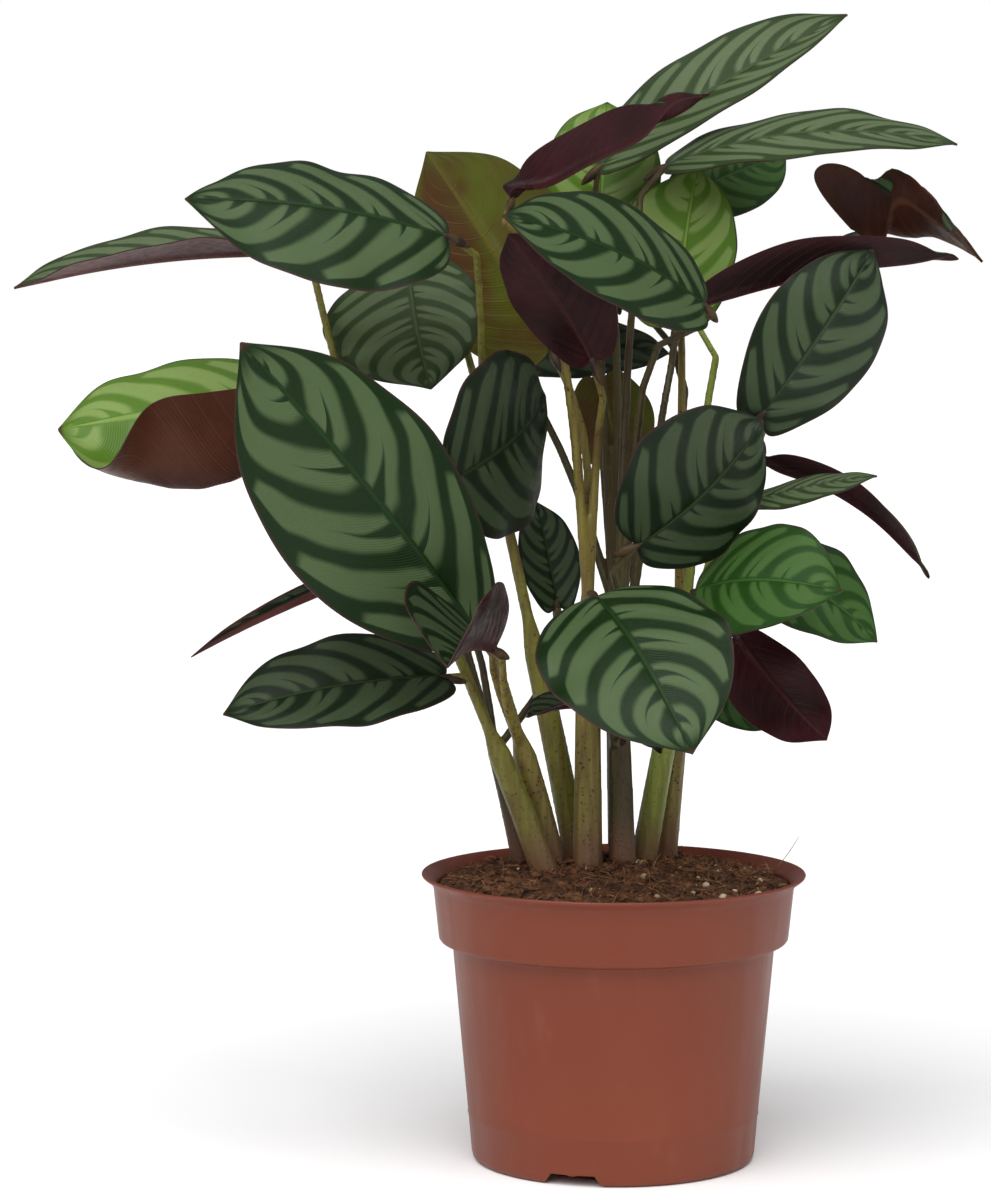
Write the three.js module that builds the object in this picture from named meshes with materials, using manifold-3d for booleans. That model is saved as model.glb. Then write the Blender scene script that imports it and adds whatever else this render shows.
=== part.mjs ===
// Potted ctenanthe, a prayer-plant relative in a round nursery pot.
// Millimetres, +Z up. The origin is on the pot's axis, on the surface that the pot stands on.
// Each blade, each shoot with its leaf stalks, the soil and the pot is one closed solid.
import * as THREE from "three";
import { mergeVertices } from "three/addons/utils/BufferGeometryUtils.js";
import Module from "manifold-3d";

const wasm = await Module();
wasm.setup();

// ---- Driving dimensions ----

const POT = {
  height: 90,
  lipRadius: 60,
  bandTopRadius: 56.4,
  bandBottomRadius: 54.7,
  bandBottomZ: 70.5,
  bodyTopRadius: 50.5,
  bodyTopZ: 68.3,
  footRadius: 44.4,
  wall: 1.3,
  discRadius: 33, // the middle of the base, which touches the ground
  channelZ: 3.4, // underside of the ring channel that drains into the notches
  notchCount: 3,
  notchTopWidth: 14,
  notchBottomWidth: 20,
  firstNotchDegrees: -108,
  drainRadius: 3,
  segments: 40,
};
const SOIL = { gap: 0.4, rimZ: 85, crownZ: 94, depthOfSockets: 13, socketGap: 0.4 };
const BLADE = {
  columns: 10,
  upperColumns: 4,
  stations: [0.04, 0.14, 0.3, 0.48, 0.66, 0.82, 0.94],
  thickness: 0.8,
  keelDepth: 1.3,
  keelHalfWidth: 0.8,
};
const STALK = { sides: 6, gap: 0.7, tipRadius: 1.25, pulvinus: 7, tuck: 5 };
const SHEATH = { sides: 8, steps: 7, tip: 0.5 };

const COLOURS = {
  pot: "#9a4a30",
  soil: "#3a2618",
  stem: "#8a9a3a",
  mature: "#2f5a34",
  young: "#7fa83c",
  wine: "#4a1626",
  olive: "#7a6a2a",
};

// ---- The leaves ----
// base and tip are the midrib's ends. face is the way the upper side looks, half the two half-widths
// (left and right, seen along the midrib from base to tip), fold the angle each half is raised at the
// midrib, curl what its outer part is bent further, arch the midrib's bow towards the upper side,
// sway its bow to the left, twist the turn from base to tip, and open how much the fold flattens out
// towards the tip, from openFrom on. egg is the outline's place of greatest width: above 1 it is nearer
// the tip. lobe is how far the rounded base reaches back. path lists the stalk's places between its
// shoot and the blade.
const LEAVES = [
  { name: "leaf_far_left", shoot: "a", base: [-105, 20, 283], tip: [-187, 10, 272], face: [0, -0.35, 1],
    half: [17, 14], fold: [40, 26], curl: [-6, -6], arch: 3, path: [[-50, -3, 162], [-86, 14, 246]] },
  { name: "leaf_upper_left", shoot: "c", base: [-51, -18, 288], tip: [-130, -38, 299],
    face: [0.1, -0.75, 0.7], half: [27, 23], fold: [-10, -10], curl: [-8, -6], arch: 5,
    path: [[-40, 14, 235], [-42, 4, 272]] },
  { name: "leaf_olive_back", shoot: "e", base: [-19, 25, 252], tip: [-59, 45, 315], face: [0.2, 1, 0.3],
    half: [28, 28], fold: [2, 2], curl: [-7, -7], arch: 4, path: [[-9, 20, 225]], tone: "olive" },
  { name: "leaf_pale_crown", shoot: "g", base: [-4, 42, 288], tip: [-1, 55, 331], face: [0, -1, 0.3],
    half: [19, 19], fold: [12, 12], curl: [3, 3], arch: 3, path: [[-4, 38, 262]], tone: "young" },
  { name: "leaf_top_right", shoot: "g", base: [-4, 32, 310], tip: [73, 20, 357], face: [-0.35, -0.75, 0.7],
    half: [18, 13], fold: [10, 10], curl: [-5, -5], arch: 3, path: [[1, 36, 262], [-5, 36, 298]] },
  { name: "leaf_top_wine", shoot: "e", base: [-32, -2, 300], tip: [29, 5, 332], face: [-0.3, 0.3, 1],
    half: [9, 12], fold: [46, 62], curl: [0, 3], arch: -2, path: [[-14, 8, 240], [-24, 4, 284]],
    tone: "wine" },
  { name: "leaf_right_grey", shoot: "f", base: [16, 15, 310], tip: [105, -5, 316], face: [0, -0.5, 0.9],
    half: [17, 11], fold: [0, -10], curl: [-8, -12], arch: 8, path: [[4, 12, 240], [8, 14, 292]] },
  { name: "leaf_behind_grey", shoot: "i", base: [22, 45, 300], tip: [57, 60, 314], face: [0.1, -0.8, 0.5],
    half: [14, 15], fold: [3, 3], curl: [-5, -5], arch: 3, path: [[22, 36, 200], [21, 42, 278]] },
  { name: "leaf_pale_middle", shoot: "f", base: [20, 26, 260], tip: [27, 34, 310], face: [-0.2, -1, 0.2],
    half: [23, 18], fold: [4, 14], curl: [-4, 3], arch: 4, path: [[16, 18, 235]], tone: "young" },
  { name: "leaf_centre", shoot: "f", base: [27, -24, 267], tip: [-35, -55, 294], face: [0.1, -0.8, 0.65],
    half: [21, 21], fold: [2, 2], curl: [-8, -8], arch: 6, path: [[5, -6, 205], [13, -16, 255]] },
  { name: "leaf_hanging_wine", shoot: "e", base: [-7, 0, 250], tip: [-33, -18, 289], face: [0.35, 0.9, 0.5],
    half: [16, 16], fold: [16, 8], curl: [2, -4], arch: 3, path: [[-5, 9, 225]], tone: "wine" },
  { name: "leaf_right_wine", shoot: "h", base: [27, 8, 267], tip: [107, 9, 281], face: [0, 0.05, 1],
    half: [11, 13], fold: [26, 58], curl: [0, 4], arch: 3, path: [[29, 6, 235], [31, 8, 257]],
    tone: "wine" },
  { name: "leaf_right_curled", shoot: "i", base: [79, 23, 286], tip: [115, 12, 280], face: [0.05, 0.3, 1],
    half: [9, 25], fold: [36, 68], curl: [5, 6], arch: 6, egg: 0.27, lobe: 12, twist: -10, open: 1,
    openFrom: 0, path: [[52, 18, 245], [62, 26, 276]], tone: "wine" },
  { name: "leaf_right_big", shoot: "h", base: [45, -8, 233], tip: [80, 4, 284], face: [0.3, -1, 0.3],
    half: [19, 19], fold: [0, 0], curl: [-10, -8], arch: 7, egg: 0.9, lobe: 8,
    path: [[36, 6, 205], [43, 3, 220]] },
  { name: "leaf_mid_right", shoot: "f", base: [6, -28, 194], tip: [45, -16, 232], face: [0.6, -0.75, -0.2],
    half: [31, 23], fold: [2, 2], curl: [-9, -7], arch: 5, path: [[2, -8, 172]] },
  { name: "leaf_mid_left", shoot: "b", base: [-50, -22, 214], tip: [-21, 18, 238],
    face: [0.75, -0.6, -0.15], half: [31, 31], fold: [2, 2], curl: [-8, -8], arch: 5,
    path: [[-48, -12, 194]] },
  { name: "leaf_big_front", shoot: "b", base: [-42, -28, 168], tip: [-112, -62, 257], face: [0.2, -1, 0.3],
    half: [34, 27], fold: [2, 2], curl: [-7, -7], arch: 6, egg: 0.95, path: [[-37, -10, 152]] },
  { name: "leaf_left_pale", shoot: "d", base: [-92, -6, 241], tip: [-171, -15, 229], face: [0, -0.7, 0.7],
    half: [58, 22], fold: [-14, -6], curl: [140, -6], arch: 2, egg: 0.95, open: 0.9, openFrom: 0.55,
    path: [[-50, 18, 165], [-80, 2, 220]], tone: "young" },
  { name: "leaf_narrow_left", shoot: "d", base: [-60, 28, 186], tip: [-133, 15, 156], face: [0, 0.1, 1],
    half: [6, 6], fold: [50, 60], curl: [10, 10], arch: 2, lobe: 1, path: [[-48, 26, 165]], tone: "wine" },
  { name: "leaf_small_front", shoot: "b", base: [-38, -40, 164], tip: [-51, -80, 163],
    face: [-0.1, -0.3, 1], half: [21, 27], fold: [62, 40], curl: [14, 10], arch: 3, open: 0.1,
    path: [[-34, -16, 147]] },
  { name: "leaf_low_left", shoot: "a", base: [-52, -12, 153], tip: [-120, -30, 143],
    face: [0.1, -0.6, 0.8], half: [21, 19], fold: [10, 10], curl: [-4, -4], arch: 4,
    path: [[-44, -9, 148]] },
  { name: "leaf_centre_front", shoot: "f", base: [-7, -35, 180], tip: [20, -95, 139],
    face: [-0.05, -0.75, 0.65], half: [29, 29], fold: [0, 0], curl: [-12, -12], arch: 8,
    path: [[-3, -12, 160]] },
  { name: "leaf_right_bright", shoot: "h", base: [24, -10, 179], tip: [67, -45, 182],
    face: [-0.1, -0.8, 0.6], half: [23, 20], fold: [2, 2], curl: [-13, -10], arch: 6,
    path: [[25, 2, 168]] },
  { name: "leaf_right_shaded", shoot: "i", base: [36, 8, 187], tip: [82, 0, 162], face: [0.3, -0.8, 0.6],
    half: [20, 17], fold: [0, 2], curl: [-11, -8], arch: 8, path: [[29, 17, 165]] },
  { name: "leaf_right_narrow", shoot: "i", base: [42, 4, 206], tip: [80, -15, 215], face: [0, -0.2, 1],
    half: [6, 11], fold: [20, -14], curl: [0, -10], arch: 1, lobe: 1, path: [[36, 14, 192]] },
  { name: "leaf_right_drooping", shoot: "i", base: [44, 22, 217], tip: [98, 0, 182], face: [0.2, 0.1, 1],
    half: [8, 8], fold: [40, 50], curl: [2, 2], arch: 7, lobe: 1, path: [[35, 24, 202]], tone: "wine" },
  { name: "leaf_low_wine", shoot: "h", base: [38, -5, 164], tip: [64, -30, 135], face: [-0.5, 0.9, 0.3],
    half: [14, 13], fold: [6, 10], curl: [-4, -4], arch: 4, path: [[25, 6, 152]], tone: "wine" },
  { name: "leaf_low_green", shoot: "i", base: [28, 15, 148], tip: [52, 5, 135], face: [0, -0.8, 0.6],
    half: [11, 11], fold: [6, 6], curl: [-4, -4], arch: 3, lobe: 1, path: [[26, 19, 143]] },
  { name: "leaf_small_dark", shoot: "e", base: [-5, -9, 143], tip: [-27, -36, 143], face: [0, -0.1, 1],
    half: [8, 8], fold: [28, 22], curl: [5, 5], arch: 2, lobe: 1, path: [[-7, 2, 136]] },
  { name: "leaf_small_low", shoot: "f", base: [3, -4, 134], tip: [14, -26, 131], face: [0, -0.2, 1],
    half: [8, 8], fold: [22, 22], curl: [4, 4], arch: 2, lobe: 1, path: [[0, 3, 128]] },
  { name: "leaf_hanging_grey", shoot: "c", base: [-64, 24, 279], tip: [-57, 16, 240],
    face: [-0.25, -1, 0.1], half: [22, 30], fold: [3, 3], curl: [-6, -6], arch: 5,
    path: [[-44, 20, 245], [-54, 30, 274]] },
  { name: "leaf_dark_back", shoot: "g", base: [-29, 72, 248], tip: [20, 68, 250], face: [0, -0.6, 0.8],
    half: [15, 15], fold: [2, 2], curl: [-5, -5], arch: 4, path: [[-14, 56, 215], [-28, 70, 240]] },
  { name: "leaf_olive_hanging", shoot: "g", base: [-3, 50, 242], tip: [4, 46, 211], face: [0.1, 1, 0.1],
    half: [14, 14], fold: [8, 8], curl: [-3, -3], arch: 3, path: [[-2, 57, 215], [-4, 59, 238]],
    tone: "olive" },
  { name: "leaf_inner_dark", shoot: "d", base: [-17, 40, 170], tip: [-24, 50, 203], face: [0.2, -1, 0.2],
    half: [10, 10], fold: [6, 6], curl: [-3, -3], arch: 2, path: [[-22, 34, 145]] },
  { name: "leaf_back_left", shoot: "d", base: [-55, 44, 190], tip: [-94, 96, 222], face: [0, 0.1, 1],
    half: [20, 20], fold: [6, 6], curl: [-7, -7], arch: 7, path: [[-42, 34, 155]] },
  { name: "leaf_back_right", shoot: "i", base: [26, 46, 200], tip: [40, 110, 222], face: [0, -0.1, 1],
    half: [20, 20], fold: [6, 6], curl: [-7, -7], arch: 7, path: [[22, 34, 165]] },
  { name: "leaf_back_high", shoot: "g", base: [2, 56, 270], tip: [-14, 118, 285], face: [0, 0, 1],
    half: [20, 20], fold: [6, 6], curl: [-7, -7], arch: 8, path: [[24, 44, 235], [14, 50, 262]] },
  { name: "leaf_back_low", shoot: "g", base: [6, 44, 160], tip: [14, 104, 146], face: [0, 0.3, 1],
    half: [18, 18], fold: [6, 6], curl: [-7, -7], arch: 8, path: [[5, 33, 145]] },
];

// ---- The shoots ----
// Each shoot is a bundle of leaf sheaths out of the soil, at root, up to top, where its stalks part.
const SHOOTS = {
  a: { root: [-22, -4, 92], top: [-39, -7, 136], radius: [4.6, 3.4] },
  b: { root: [-19, 6, 92], top: [-30, 0, 134], radius: [4.6, 3.6] },
  c: { root: [-11, 15, 92], top: [-27, 12, 170], radius: [4.4, 3.4] },
  d: { root: [-29, 22, 92], top: [-38, 23, 130], radius: [3.4, 2.6] },
  e: { root: [-8, 2, 92], top: [-8, 7, 180], radius: [4.9, 3.4] },
  f: { root: [3, 6, 92], top: [1, 8, 150], radius: [4.4, 3.6] },
  g: { root: [3, 28, 92], top: [1, 32, 175], radius: [4.2, 3.2] },
  h: { root: [10, 15, 92], top: [22, 9, 160], radius: [4.4, 3.2] },
  i: { root: [17, 26, 92], top: [21, 22, 138], radius: [4.4, 3.6] },
};

// ---- Helpers ----

const vector = (p) => new THREE.Vector3(...p);
const radians = THREE.MathUtils.degToRad;
const smooth = THREE.MathUtils.smoothstep;

/** A geometry as a solid that can be joined and cut. */
function solidOf(geometry) {
  const bare = geometry.clone();
  bare.deleteAttribute("normal");
  bare.deleteAttribute("uv");
  const merged = mergeVertices(bare, 1e-4);
  return new wasm.Manifold(
    new wasm.Mesh({
      numProp: 3,
      vertProperties: new Float32Array(merged.attributes.position.array),
      triVerts: new Uint32Array(merged.index.array),
    }),
  );
}

/** A joined or cut solid as a three.js geometry again. */
function geometryOf(solid) {
  const mesh = solid.getMesh();
  const positions = new Float32Array(mesh.numVert * 3);
  for (let i = 0; i < mesh.numVert; i++) {
    positions.set(mesh.vertProperties.subarray(i * mesh.numProp, i * mesh.numProp + 3), i * 3);
  }
  return new THREE.BufferGeometry()
    .setAttribute("position", new THREE.BufferAttribute(positions, 3))
    .setIndex(new THREE.BufferAttribute(mesh.triVerts, 1));
}

/** A turned profile, given as [radius, z] points that start and end on the axis. */
function turned(profile, segments) {
  const points = profile.map(([r, z]) => new THREE.Vector2(r, z));
  return new THREE.LatheGeometry(points, segments).rotateX(Math.PI / 2);
}

/** A round rod bent along a curve, with its radius given by radiusAt(share of the length). */
function bentRod(curve, radiusAt, sides, steps) {
  const rod = new THREE.CylinderGeometry(1, 1, 1, sides, steps);
  const frames = curve.computeFrenetFrames(steps, false);
  const position = rod.attributes.position;
  const place = new THREE.Vector3();
  for (let i = 0; i < position.count; i++) {
    const share = position.getY(i) + 0.5;
    const frame = Math.round(share * steps);
    const radius = radiusAt(share);
    curve.getPointAt(share, place);
    place.addScaledVector(frames.normals[frame], position.getX(i) * radius);
    place.addScaledVector(frames.binormals[frame], -position.getZ(i) * radius);
    position.setXYZ(i, place.x, place.y, place.z);
  }
  return rod;
}

function mesh(name, geometry, colour, roughness) {
  geometry.computeVertexNormals();
  const material = new THREE.MeshStandardMaterial({ color: colour, roughness, metalness: 0 });
  const made = new THREE.Mesh(geometry, material);
  made.name = name;
  return made;
}

// ---- The pot ----

function potProfile() {
  const { wall, footRadius, bodyTopRadius, bodyTopZ, bandTopRadius, bandBottomRadius, bandBottomZ } = POT;
  const channelTop = POT.channelZ + wall;
  return [
    [0, 0],
    [POT.discRadius, 0],
    [POT.discRadius + 1.5, POT.channelZ],
    [footRadius - 3.2, POT.channelZ],
    [footRadius - 2.6, 0],
    [footRadius - 1.4, 0],
    [footRadius - 0.4, 0.8],
    [footRadius, 2.4],
    [bodyTopRadius, bodyTopZ],
    [bandBottomRadius - 1.2, bodyTopZ + 0.5],
    [bandBottomRadius, bandBottomZ],
    [bandTopRadius, POT.height - 3.6],
    [POT.lipRadius, POT.height - 1],
    [POT.lipRadius - 0.2, POT.height],
    [POT.lipRadius - 1.2, POT.height],
    [bandTopRadius - wall, POT.height - 3.4],
    [bandBottomRadius - wall, bandBottomZ + 0.6],
    [bodyTopRadius - wall, bandBottomZ - 0.6],
    [footRadius - wall, channelTop],
    [POT.discRadius + 0.5, channelTop],
    [POT.discRadius - 1, wall],
    [0, wall],
  ];
}

/** A wedge that cuts one drain notch through the foot, wider at the ground than at its top. */
function notchCutter(degrees) {
  const section = new THREE.Shape([
    new THREE.Vector2(-POT.notchBottomWidth / 2, -1),
    new THREE.Vector2(POT.notchBottomWidth / 2, -1),
    new THREE.Vector2(POT.notchTopWidth / 2, POT.channelZ),
    new THREE.Vector2(-POT.notchTopWidth / 2, POT.channelZ),
  ]);
  const length = 12;
  return new THREE.ExtrudeGeometry(section, { depth: length, bevelEnabled: false })
    .rotateX(Math.PI / 2)
    .translate(0, POT.footRadius + 3, 0)
    .rotateZ(radians(degrees - 90));
}

function makePot() {
  let pot = solidOf(turned(potProfile(), POT.segments));
  for (let i = 0; i < POT.notchCount; i++) {
    const degrees = POT.firstNotchDegrees + (360 / POT.notchCount) * i;
    const drain = new THREE.CylinderGeometry(POT.drainRadius, POT.drainRadius, 6, 16)
      .rotateX(Math.PI / 2)
      .translate(POT.discRadius + 5.5, 0, POT.channelZ + 1)
      .rotateZ(radians(degrees));
    pot = pot.subtract(solidOf(notchCutter(degrees))).subtract(solidOf(drain));
  }
  return mesh("nursery_pot", geometryOf(pot), COLOURS.pot, 0.5);
}

// ---- The soil ----

function soilProfile() {
  const gap = SOIL.gap;
  const channelTop = POT.channelZ + POT.wall + gap;
  const inner = POT.wall + gap;
  return [
    [0, POT.wall + gap],
    [POT.discRadius - 1 - gap, POT.wall + gap],
    [POT.discRadius + 0.5 - gap, channelTop],
    [POT.footRadius - inner, channelTop],
    [POT.bodyTopRadius - inner, POT.bandBottomZ - 0.6 + gap],
    [POT.bandBottomRadius - inner, POT.bandBottomZ + 0.6 + gap],
    [POT.bandTopRadius - inner - 0.2, SOIL.rimZ],
    [49, SOIL.rimZ + 2],
    [36, SOIL.rimZ + 4.5],
    [20, SOIL.crownZ - 1.8],
    [0, SOIL.crownZ],
  ];
}

function makeSoil() {
  let soil = solidOf(turned(soilProfile(), POT.segments));
  for (const shoot of Object.values(SHOOTS)) soil = soil.subtract(solidOf(sheathRod(shoot, SOIL.socketGap)));
  return mesh("potting_soil", geometryOf(soil), COLOURS.soil, 1);
}

// ---- The blades ----

/** Half-width of a blade at share t of its length, as a share of the widest, with a drawn-out tip. */
function outline(t, egg) {
  const oval = Math.sin(Math.PI * Math.pow(t, egg)) ** 0.62;
  return oval * (1 - 0.45 * smooth(t, 0.84, 1));
}

/** The blade's surface: its midrib, and at share t of it and share v of the half-width (left is positive)
 * the place on the upper side and the way that side looks there. */
class Blade {
  constructor(leaf) {
    const plain = { arch: 0, sway: 0, twist: 0, open: 0.25, openFrom: 0.35, egg: 0.82, lobe: 4 };
    this.leaf = { ...plain, ...leaf };
    this.base = vector(leaf.base);
    this.axis = vector(leaf.tip).sub(this.base);
    this.length = this.axis.length();
    this.axis.normalize();
    const face = vector(leaf.face);
    this.normal = face.addScaledVector(this.axis, -face.dot(this.axis)).normalize();
    this.left = new THREE.Vector3().crossVectors(this.normal, this.axis);
  }

  midrib(t) {
    const bow = 4 * t * (1 - t);
    return this.base
      .clone()
      .addScaledVector(this.axis, this.length * t)
      .addScaledVector(this.normal, this.leaf.arch * bow)
      .addScaledVector(this.left, this.leaf.sway * bow);
  }

  direction(t) {
    return this.midrib(t + 0.01).sub(this.midrib(t - 0.01)).normalize();
  }

  surface(t, v, below = 0) {
    const along = this.direction(t);
    const turn = radians(this.leaf.twist * (t - 0.5));
    const up = this.normal.clone().applyAxisAngle(along, turn);
    up.addScaledVector(along, -up.dot(along)).normalize();
    const side = new THREE.Vector3().crossVectors(up, along);
    const hand = v >= 0 ? 0 : 1;
    const share = Math.abs(v);
    const flat = 1 - this.leaf.open * smooth(t, this.leaf.openFrom, 1);
    const inner = radians(this.leaf.fold[hand]) * flat;
    const outer = inner + radians(this.leaf.curl[hand]) * flat;
    const width = this.leaf.half[hand] * outline(t, this.leaf.egg);
    const near = width * Math.min(share, 0.5);
    const far = width * Math.max(share - 0.5, 0);
    const out = near * Math.cos(inner) + far * Math.cos(outer);
    const rise = near * Math.sin(inner) + far * Math.sin(outer);
    const angle = share > 0.75 ? outer : (inner + (share > 0.4 ? outer : inner)) / 2;
    const sign = hand === 0 ? 1 : -1;
    const back = this.leaf.lobe * share * share * (1 - t) ** 5;
    return this.midrib(t)
      .addScaledVector(along, -back)
      .addScaledVector(side, sign * (out + below * Math.sin(angle)))
      .addScaledVector(up, rise - below * Math.cos(angle));
  }
}

/** A blade as one thin closed solid with a raised midrib underneath, from a globe's rings and columns. */
function makeBlade(leaf) {
  const blade = new Blade(leaf);
  const rings = BLADE.stations.length + 1;
  const globe = new THREE.SphereGeometry(1, BLADE.columns, rings);
  const position = globe.attributes.position;
  const width = (t) => outline(t, blade.leaf.egg);
  const flank = (t) => BLADE.keelHalfWidth / Math.max(6, leaf.half[0] * width(t));
  const columnsAt = (t) => [
    [-1, 0],
    [-0.5, 0],
    [0, 0],
    [0.5, 0],
    [1, 0],
    [0.5, BLADE.thickness],
    [flank(t), BLADE.thickness],
    [0, BLADE.keelDepth],
    [-flank(t), BLADE.thickness],
    [-0.5, BLADE.thickness],
  ];
  for (let i = 0; i < position.count; i++) {
    const ring = Math.floor(i / (BLADE.columns + 1));
    const column = (i % (BLADE.columns + 1)) % BLADE.columns;
    let place;
    if (ring === 0) place = blade.surface(0, 0, 0.6);
    else if (ring === rings) place = blade.surface(1, 0, 0);
    else {
      const t = BLADE.stations[ring - 1];
      const [v, depth] = columnsAt(t)[column];
      const thin = 0.45 + 0.55 * width(t);
      place = blade.surface(t, v, depth * thin);
    }
    position.setXYZ(i, place.x, place.y, place.z);
  }
  globe.setIndex(bladeFaces(rings));
  const tone = COLOURS[leaf.tone ?? "mature"];
  return mesh(leaf.name, mergedGeometry(globe), tone, 0.45);
}

/** The blade's faces. Upper side and underside are split along the same diagonals, so that a strongly
 * curled blade keeps its thickness. */
function bladeFaces(rings) {
  const faces = [];
  const row = BLADE.columns + 1;
  for (let ring = 0; ring < rings; ring++) {
    for (let column = 0; column < BLADE.columns; column++) {
      const b = ring * row + column;
      const [a, c, d] = [b + 1, b + row, b + row + 1];
      const underneath = column >= BLADE.upperColumns;
      if (ring === 0) faces.push(b, c, d);
      else if (ring === rings - 1) faces.push(a, b, d);
      else if (underneath) faces.push(a, b, c, a, c, d);
      else faces.push(a, b, d, b, c, d);
    }
  }
  return faces;
}

function mergedGeometry(geometry) {
  geometry.deleteAttribute("normal");
  geometry.deleteAttribute("uv");
  return mergeVertices(geometry, 1e-4);
}

// ---- The shoots and stalks ----

/** The sheathed lower part of a shoot, reaching down into the soil. extra widens it for its socket. */
function sheathRod(shoot, extra = 0) {
  const root = vector(shoot.root);
  const top = vector(shoot.top);
  const down = root.clone().sub(top).normalize();
  const foot = root.clone().addScaledVector(down, SOIL.depthOfSockets + extra);
  const bulge = root.clone().lerp(top, 0.4).add(new THREE.Vector3(0, 0, 1));
  const curve = new THREE.CatmullRomCurve3([foot, root, bulge, top]);
  const [low, high] = shoot.radius;
  const taper = (share) => (share > 0.99 ? SHEATH.tip : 1);
  const radiusAt = (share) => THREE.MathUtils.lerp(low, high, share) * taper(share) + extra;
  return bentRod(curve, radiusAt, SHEATH.sides, SHEATH.steps);
}

/** One leaf stalk, from inside its shoot's top to just short of its blade. */
function stalkRod(leaf, shoot) {
  const blade = new Blade(leaf);
  const along = blade.direction(0.02);
  const end = blade.surface(0, 0, 0.6).addScaledVector(along, -STALK.gap);
  const bend = end.clone().addScaledVector(along, -STALK.pulvinus);
  const top = vector(shoot.top);
  const inside = top.clone().lerp(vector(shoot.root), STALK.tuck / top.distanceTo(vector(shoot.root)));
  const curve = new THREE.CatmullRomCurve3([inside, ...leaf.path.map(vector), bend, end]);
  const steps = Math.max(5, Math.round(curve.getLength() / 14));
  const first = Math.min(shoot.radius[1] * 0.55, 2.1);
  const radiusAt = (share) => THREE.MathUtils.lerp(first, STALK.tipRadius, Math.min(1, share * 1.4));
  return bentRod(curve, radiusAt, STALK.sides, steps);
}

function makeShoot(key) {
  const shoot = SHOOTS[key];
  let solid = solidOf(sheathRod(shoot));
  for (const leaf of LEAVES.filter((each) => each.shoot === key)) {
    solid = solid.add(solidOf(stalkRod(leaf, shoot)));
  }
  return mesh(`shoot_${key}`, geometryOf(solid), COLOURS.stem, 0.6);
}

// ---- Assembly ----

const plant = new THREE.Group();
plant.add(makePot(), makeSoil());
for (const key of Object.keys(SHOOTS)) plant.add(makeShoot(key));
for (const leaf of LEAVES) plant.add(makeBlade(leaf));

export default plant;
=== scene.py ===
"""A potted ctenanthe: striped leaves on thin stalks, in soil, in a round nursery pot.

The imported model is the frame. Every leaf, shoot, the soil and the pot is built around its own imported
solid and stands for it. Lengths in the fields are millimetres, and meshes are in metres.
"""

from __future__ import annotations

import logging
import math
from dataclasses import dataclass, field
from enum import Enum

import bpy
import numpy as np
from mathutils import Matrix, Vector, noise


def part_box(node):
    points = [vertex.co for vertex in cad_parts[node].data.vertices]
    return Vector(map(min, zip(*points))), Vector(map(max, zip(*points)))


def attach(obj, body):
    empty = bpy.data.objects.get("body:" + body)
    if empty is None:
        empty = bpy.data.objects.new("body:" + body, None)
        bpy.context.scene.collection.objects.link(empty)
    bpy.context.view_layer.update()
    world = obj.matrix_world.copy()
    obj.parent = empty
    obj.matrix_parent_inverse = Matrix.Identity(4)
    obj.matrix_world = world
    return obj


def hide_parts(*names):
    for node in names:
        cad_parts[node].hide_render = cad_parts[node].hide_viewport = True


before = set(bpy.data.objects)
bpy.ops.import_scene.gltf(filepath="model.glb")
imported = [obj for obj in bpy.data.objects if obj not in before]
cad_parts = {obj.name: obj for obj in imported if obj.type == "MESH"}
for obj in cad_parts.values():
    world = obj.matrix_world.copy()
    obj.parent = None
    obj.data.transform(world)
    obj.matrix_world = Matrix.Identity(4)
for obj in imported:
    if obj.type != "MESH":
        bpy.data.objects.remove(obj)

LOG = logging.getLogger("ctenanthe")
MM = 0.001
ROOT = "root"
BLADE_MAP = "BladeMap"
SEED_ATTRIBUTE = "leaf_seed"
Colour = tuple[float, float, float]


# ---- Small modelling helpers ----


def deselect_all() -> None:
    """Leave nothing selected, so that the next operator acts only on what it is given."""
    if bpy.context.object is not None and bpy.context.object.mode != "OBJECT":
        bpy.ops.object.mode_set(mode="OBJECT")
    bpy.ops.object.select_all(action="DESELECT")


def activate(piece: bpy.types.Object) -> None:
    """Make one piece the only selected and active one."""
    deselect_all()
    piece.select_set(True)
    bpy.context.view_layer.objects.active = piece


def edit_all(piece: bpy.types.Object, *steps: str, **settings: float) -> None:
    """Run mesh operators on the whole of a piece in edit mode.

    Args:
        piece: The piece to work on.
        steps: Names of bpy.ops.mesh operators, run in order.
        settings: Arguments for the first of them.
    """
    activate(piece)
    bpy.ops.object.mode_set(mode="EDIT")
    bpy.ops.mesh.select_all(action="SELECT")
    for index, step in enumerate(steps):
        getattr(bpy.ops.mesh, step)(**(settings if index == 0 else {}))
    bpy.ops.object.mode_set(mode="OBJECT")


def apply_modifier(piece: bpy.types.Object, kind: str, **settings: object) -> None:
    """Add a modifier to a piece, set it, and apply it.

    Args:
        piece: The piece that takes the modifier.
        kind: The modifier's type, such as "SOLIDIFY".
        settings: Its properties.
    """
    activate(piece)
    modifier = piece.modifiers.new(kind.title(), kind)
    for name, value in settings.items():
        setattr(modifier, name, value)
    bpy.ops.object.modifier_apply(modifier=modifier.name)


def points_of(mesh: bpy.types.Mesh) -> np.ndarray:
    """Give a mesh's vertex places as an array of rows."""
    places = np.zeros(len(mesh.vertices) * 3)
    mesh.vertices.foreach_get("co", places)
    return places.reshape(-1, 3)


def set_points(mesh: bpy.types.Mesh, places: np.ndarray) -> None:
    """Move a mesh's vertices to new places."""
    mesh.vertices.foreach_set("co", places.astype(np.float32).ravel())
    mesh.update()


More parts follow.
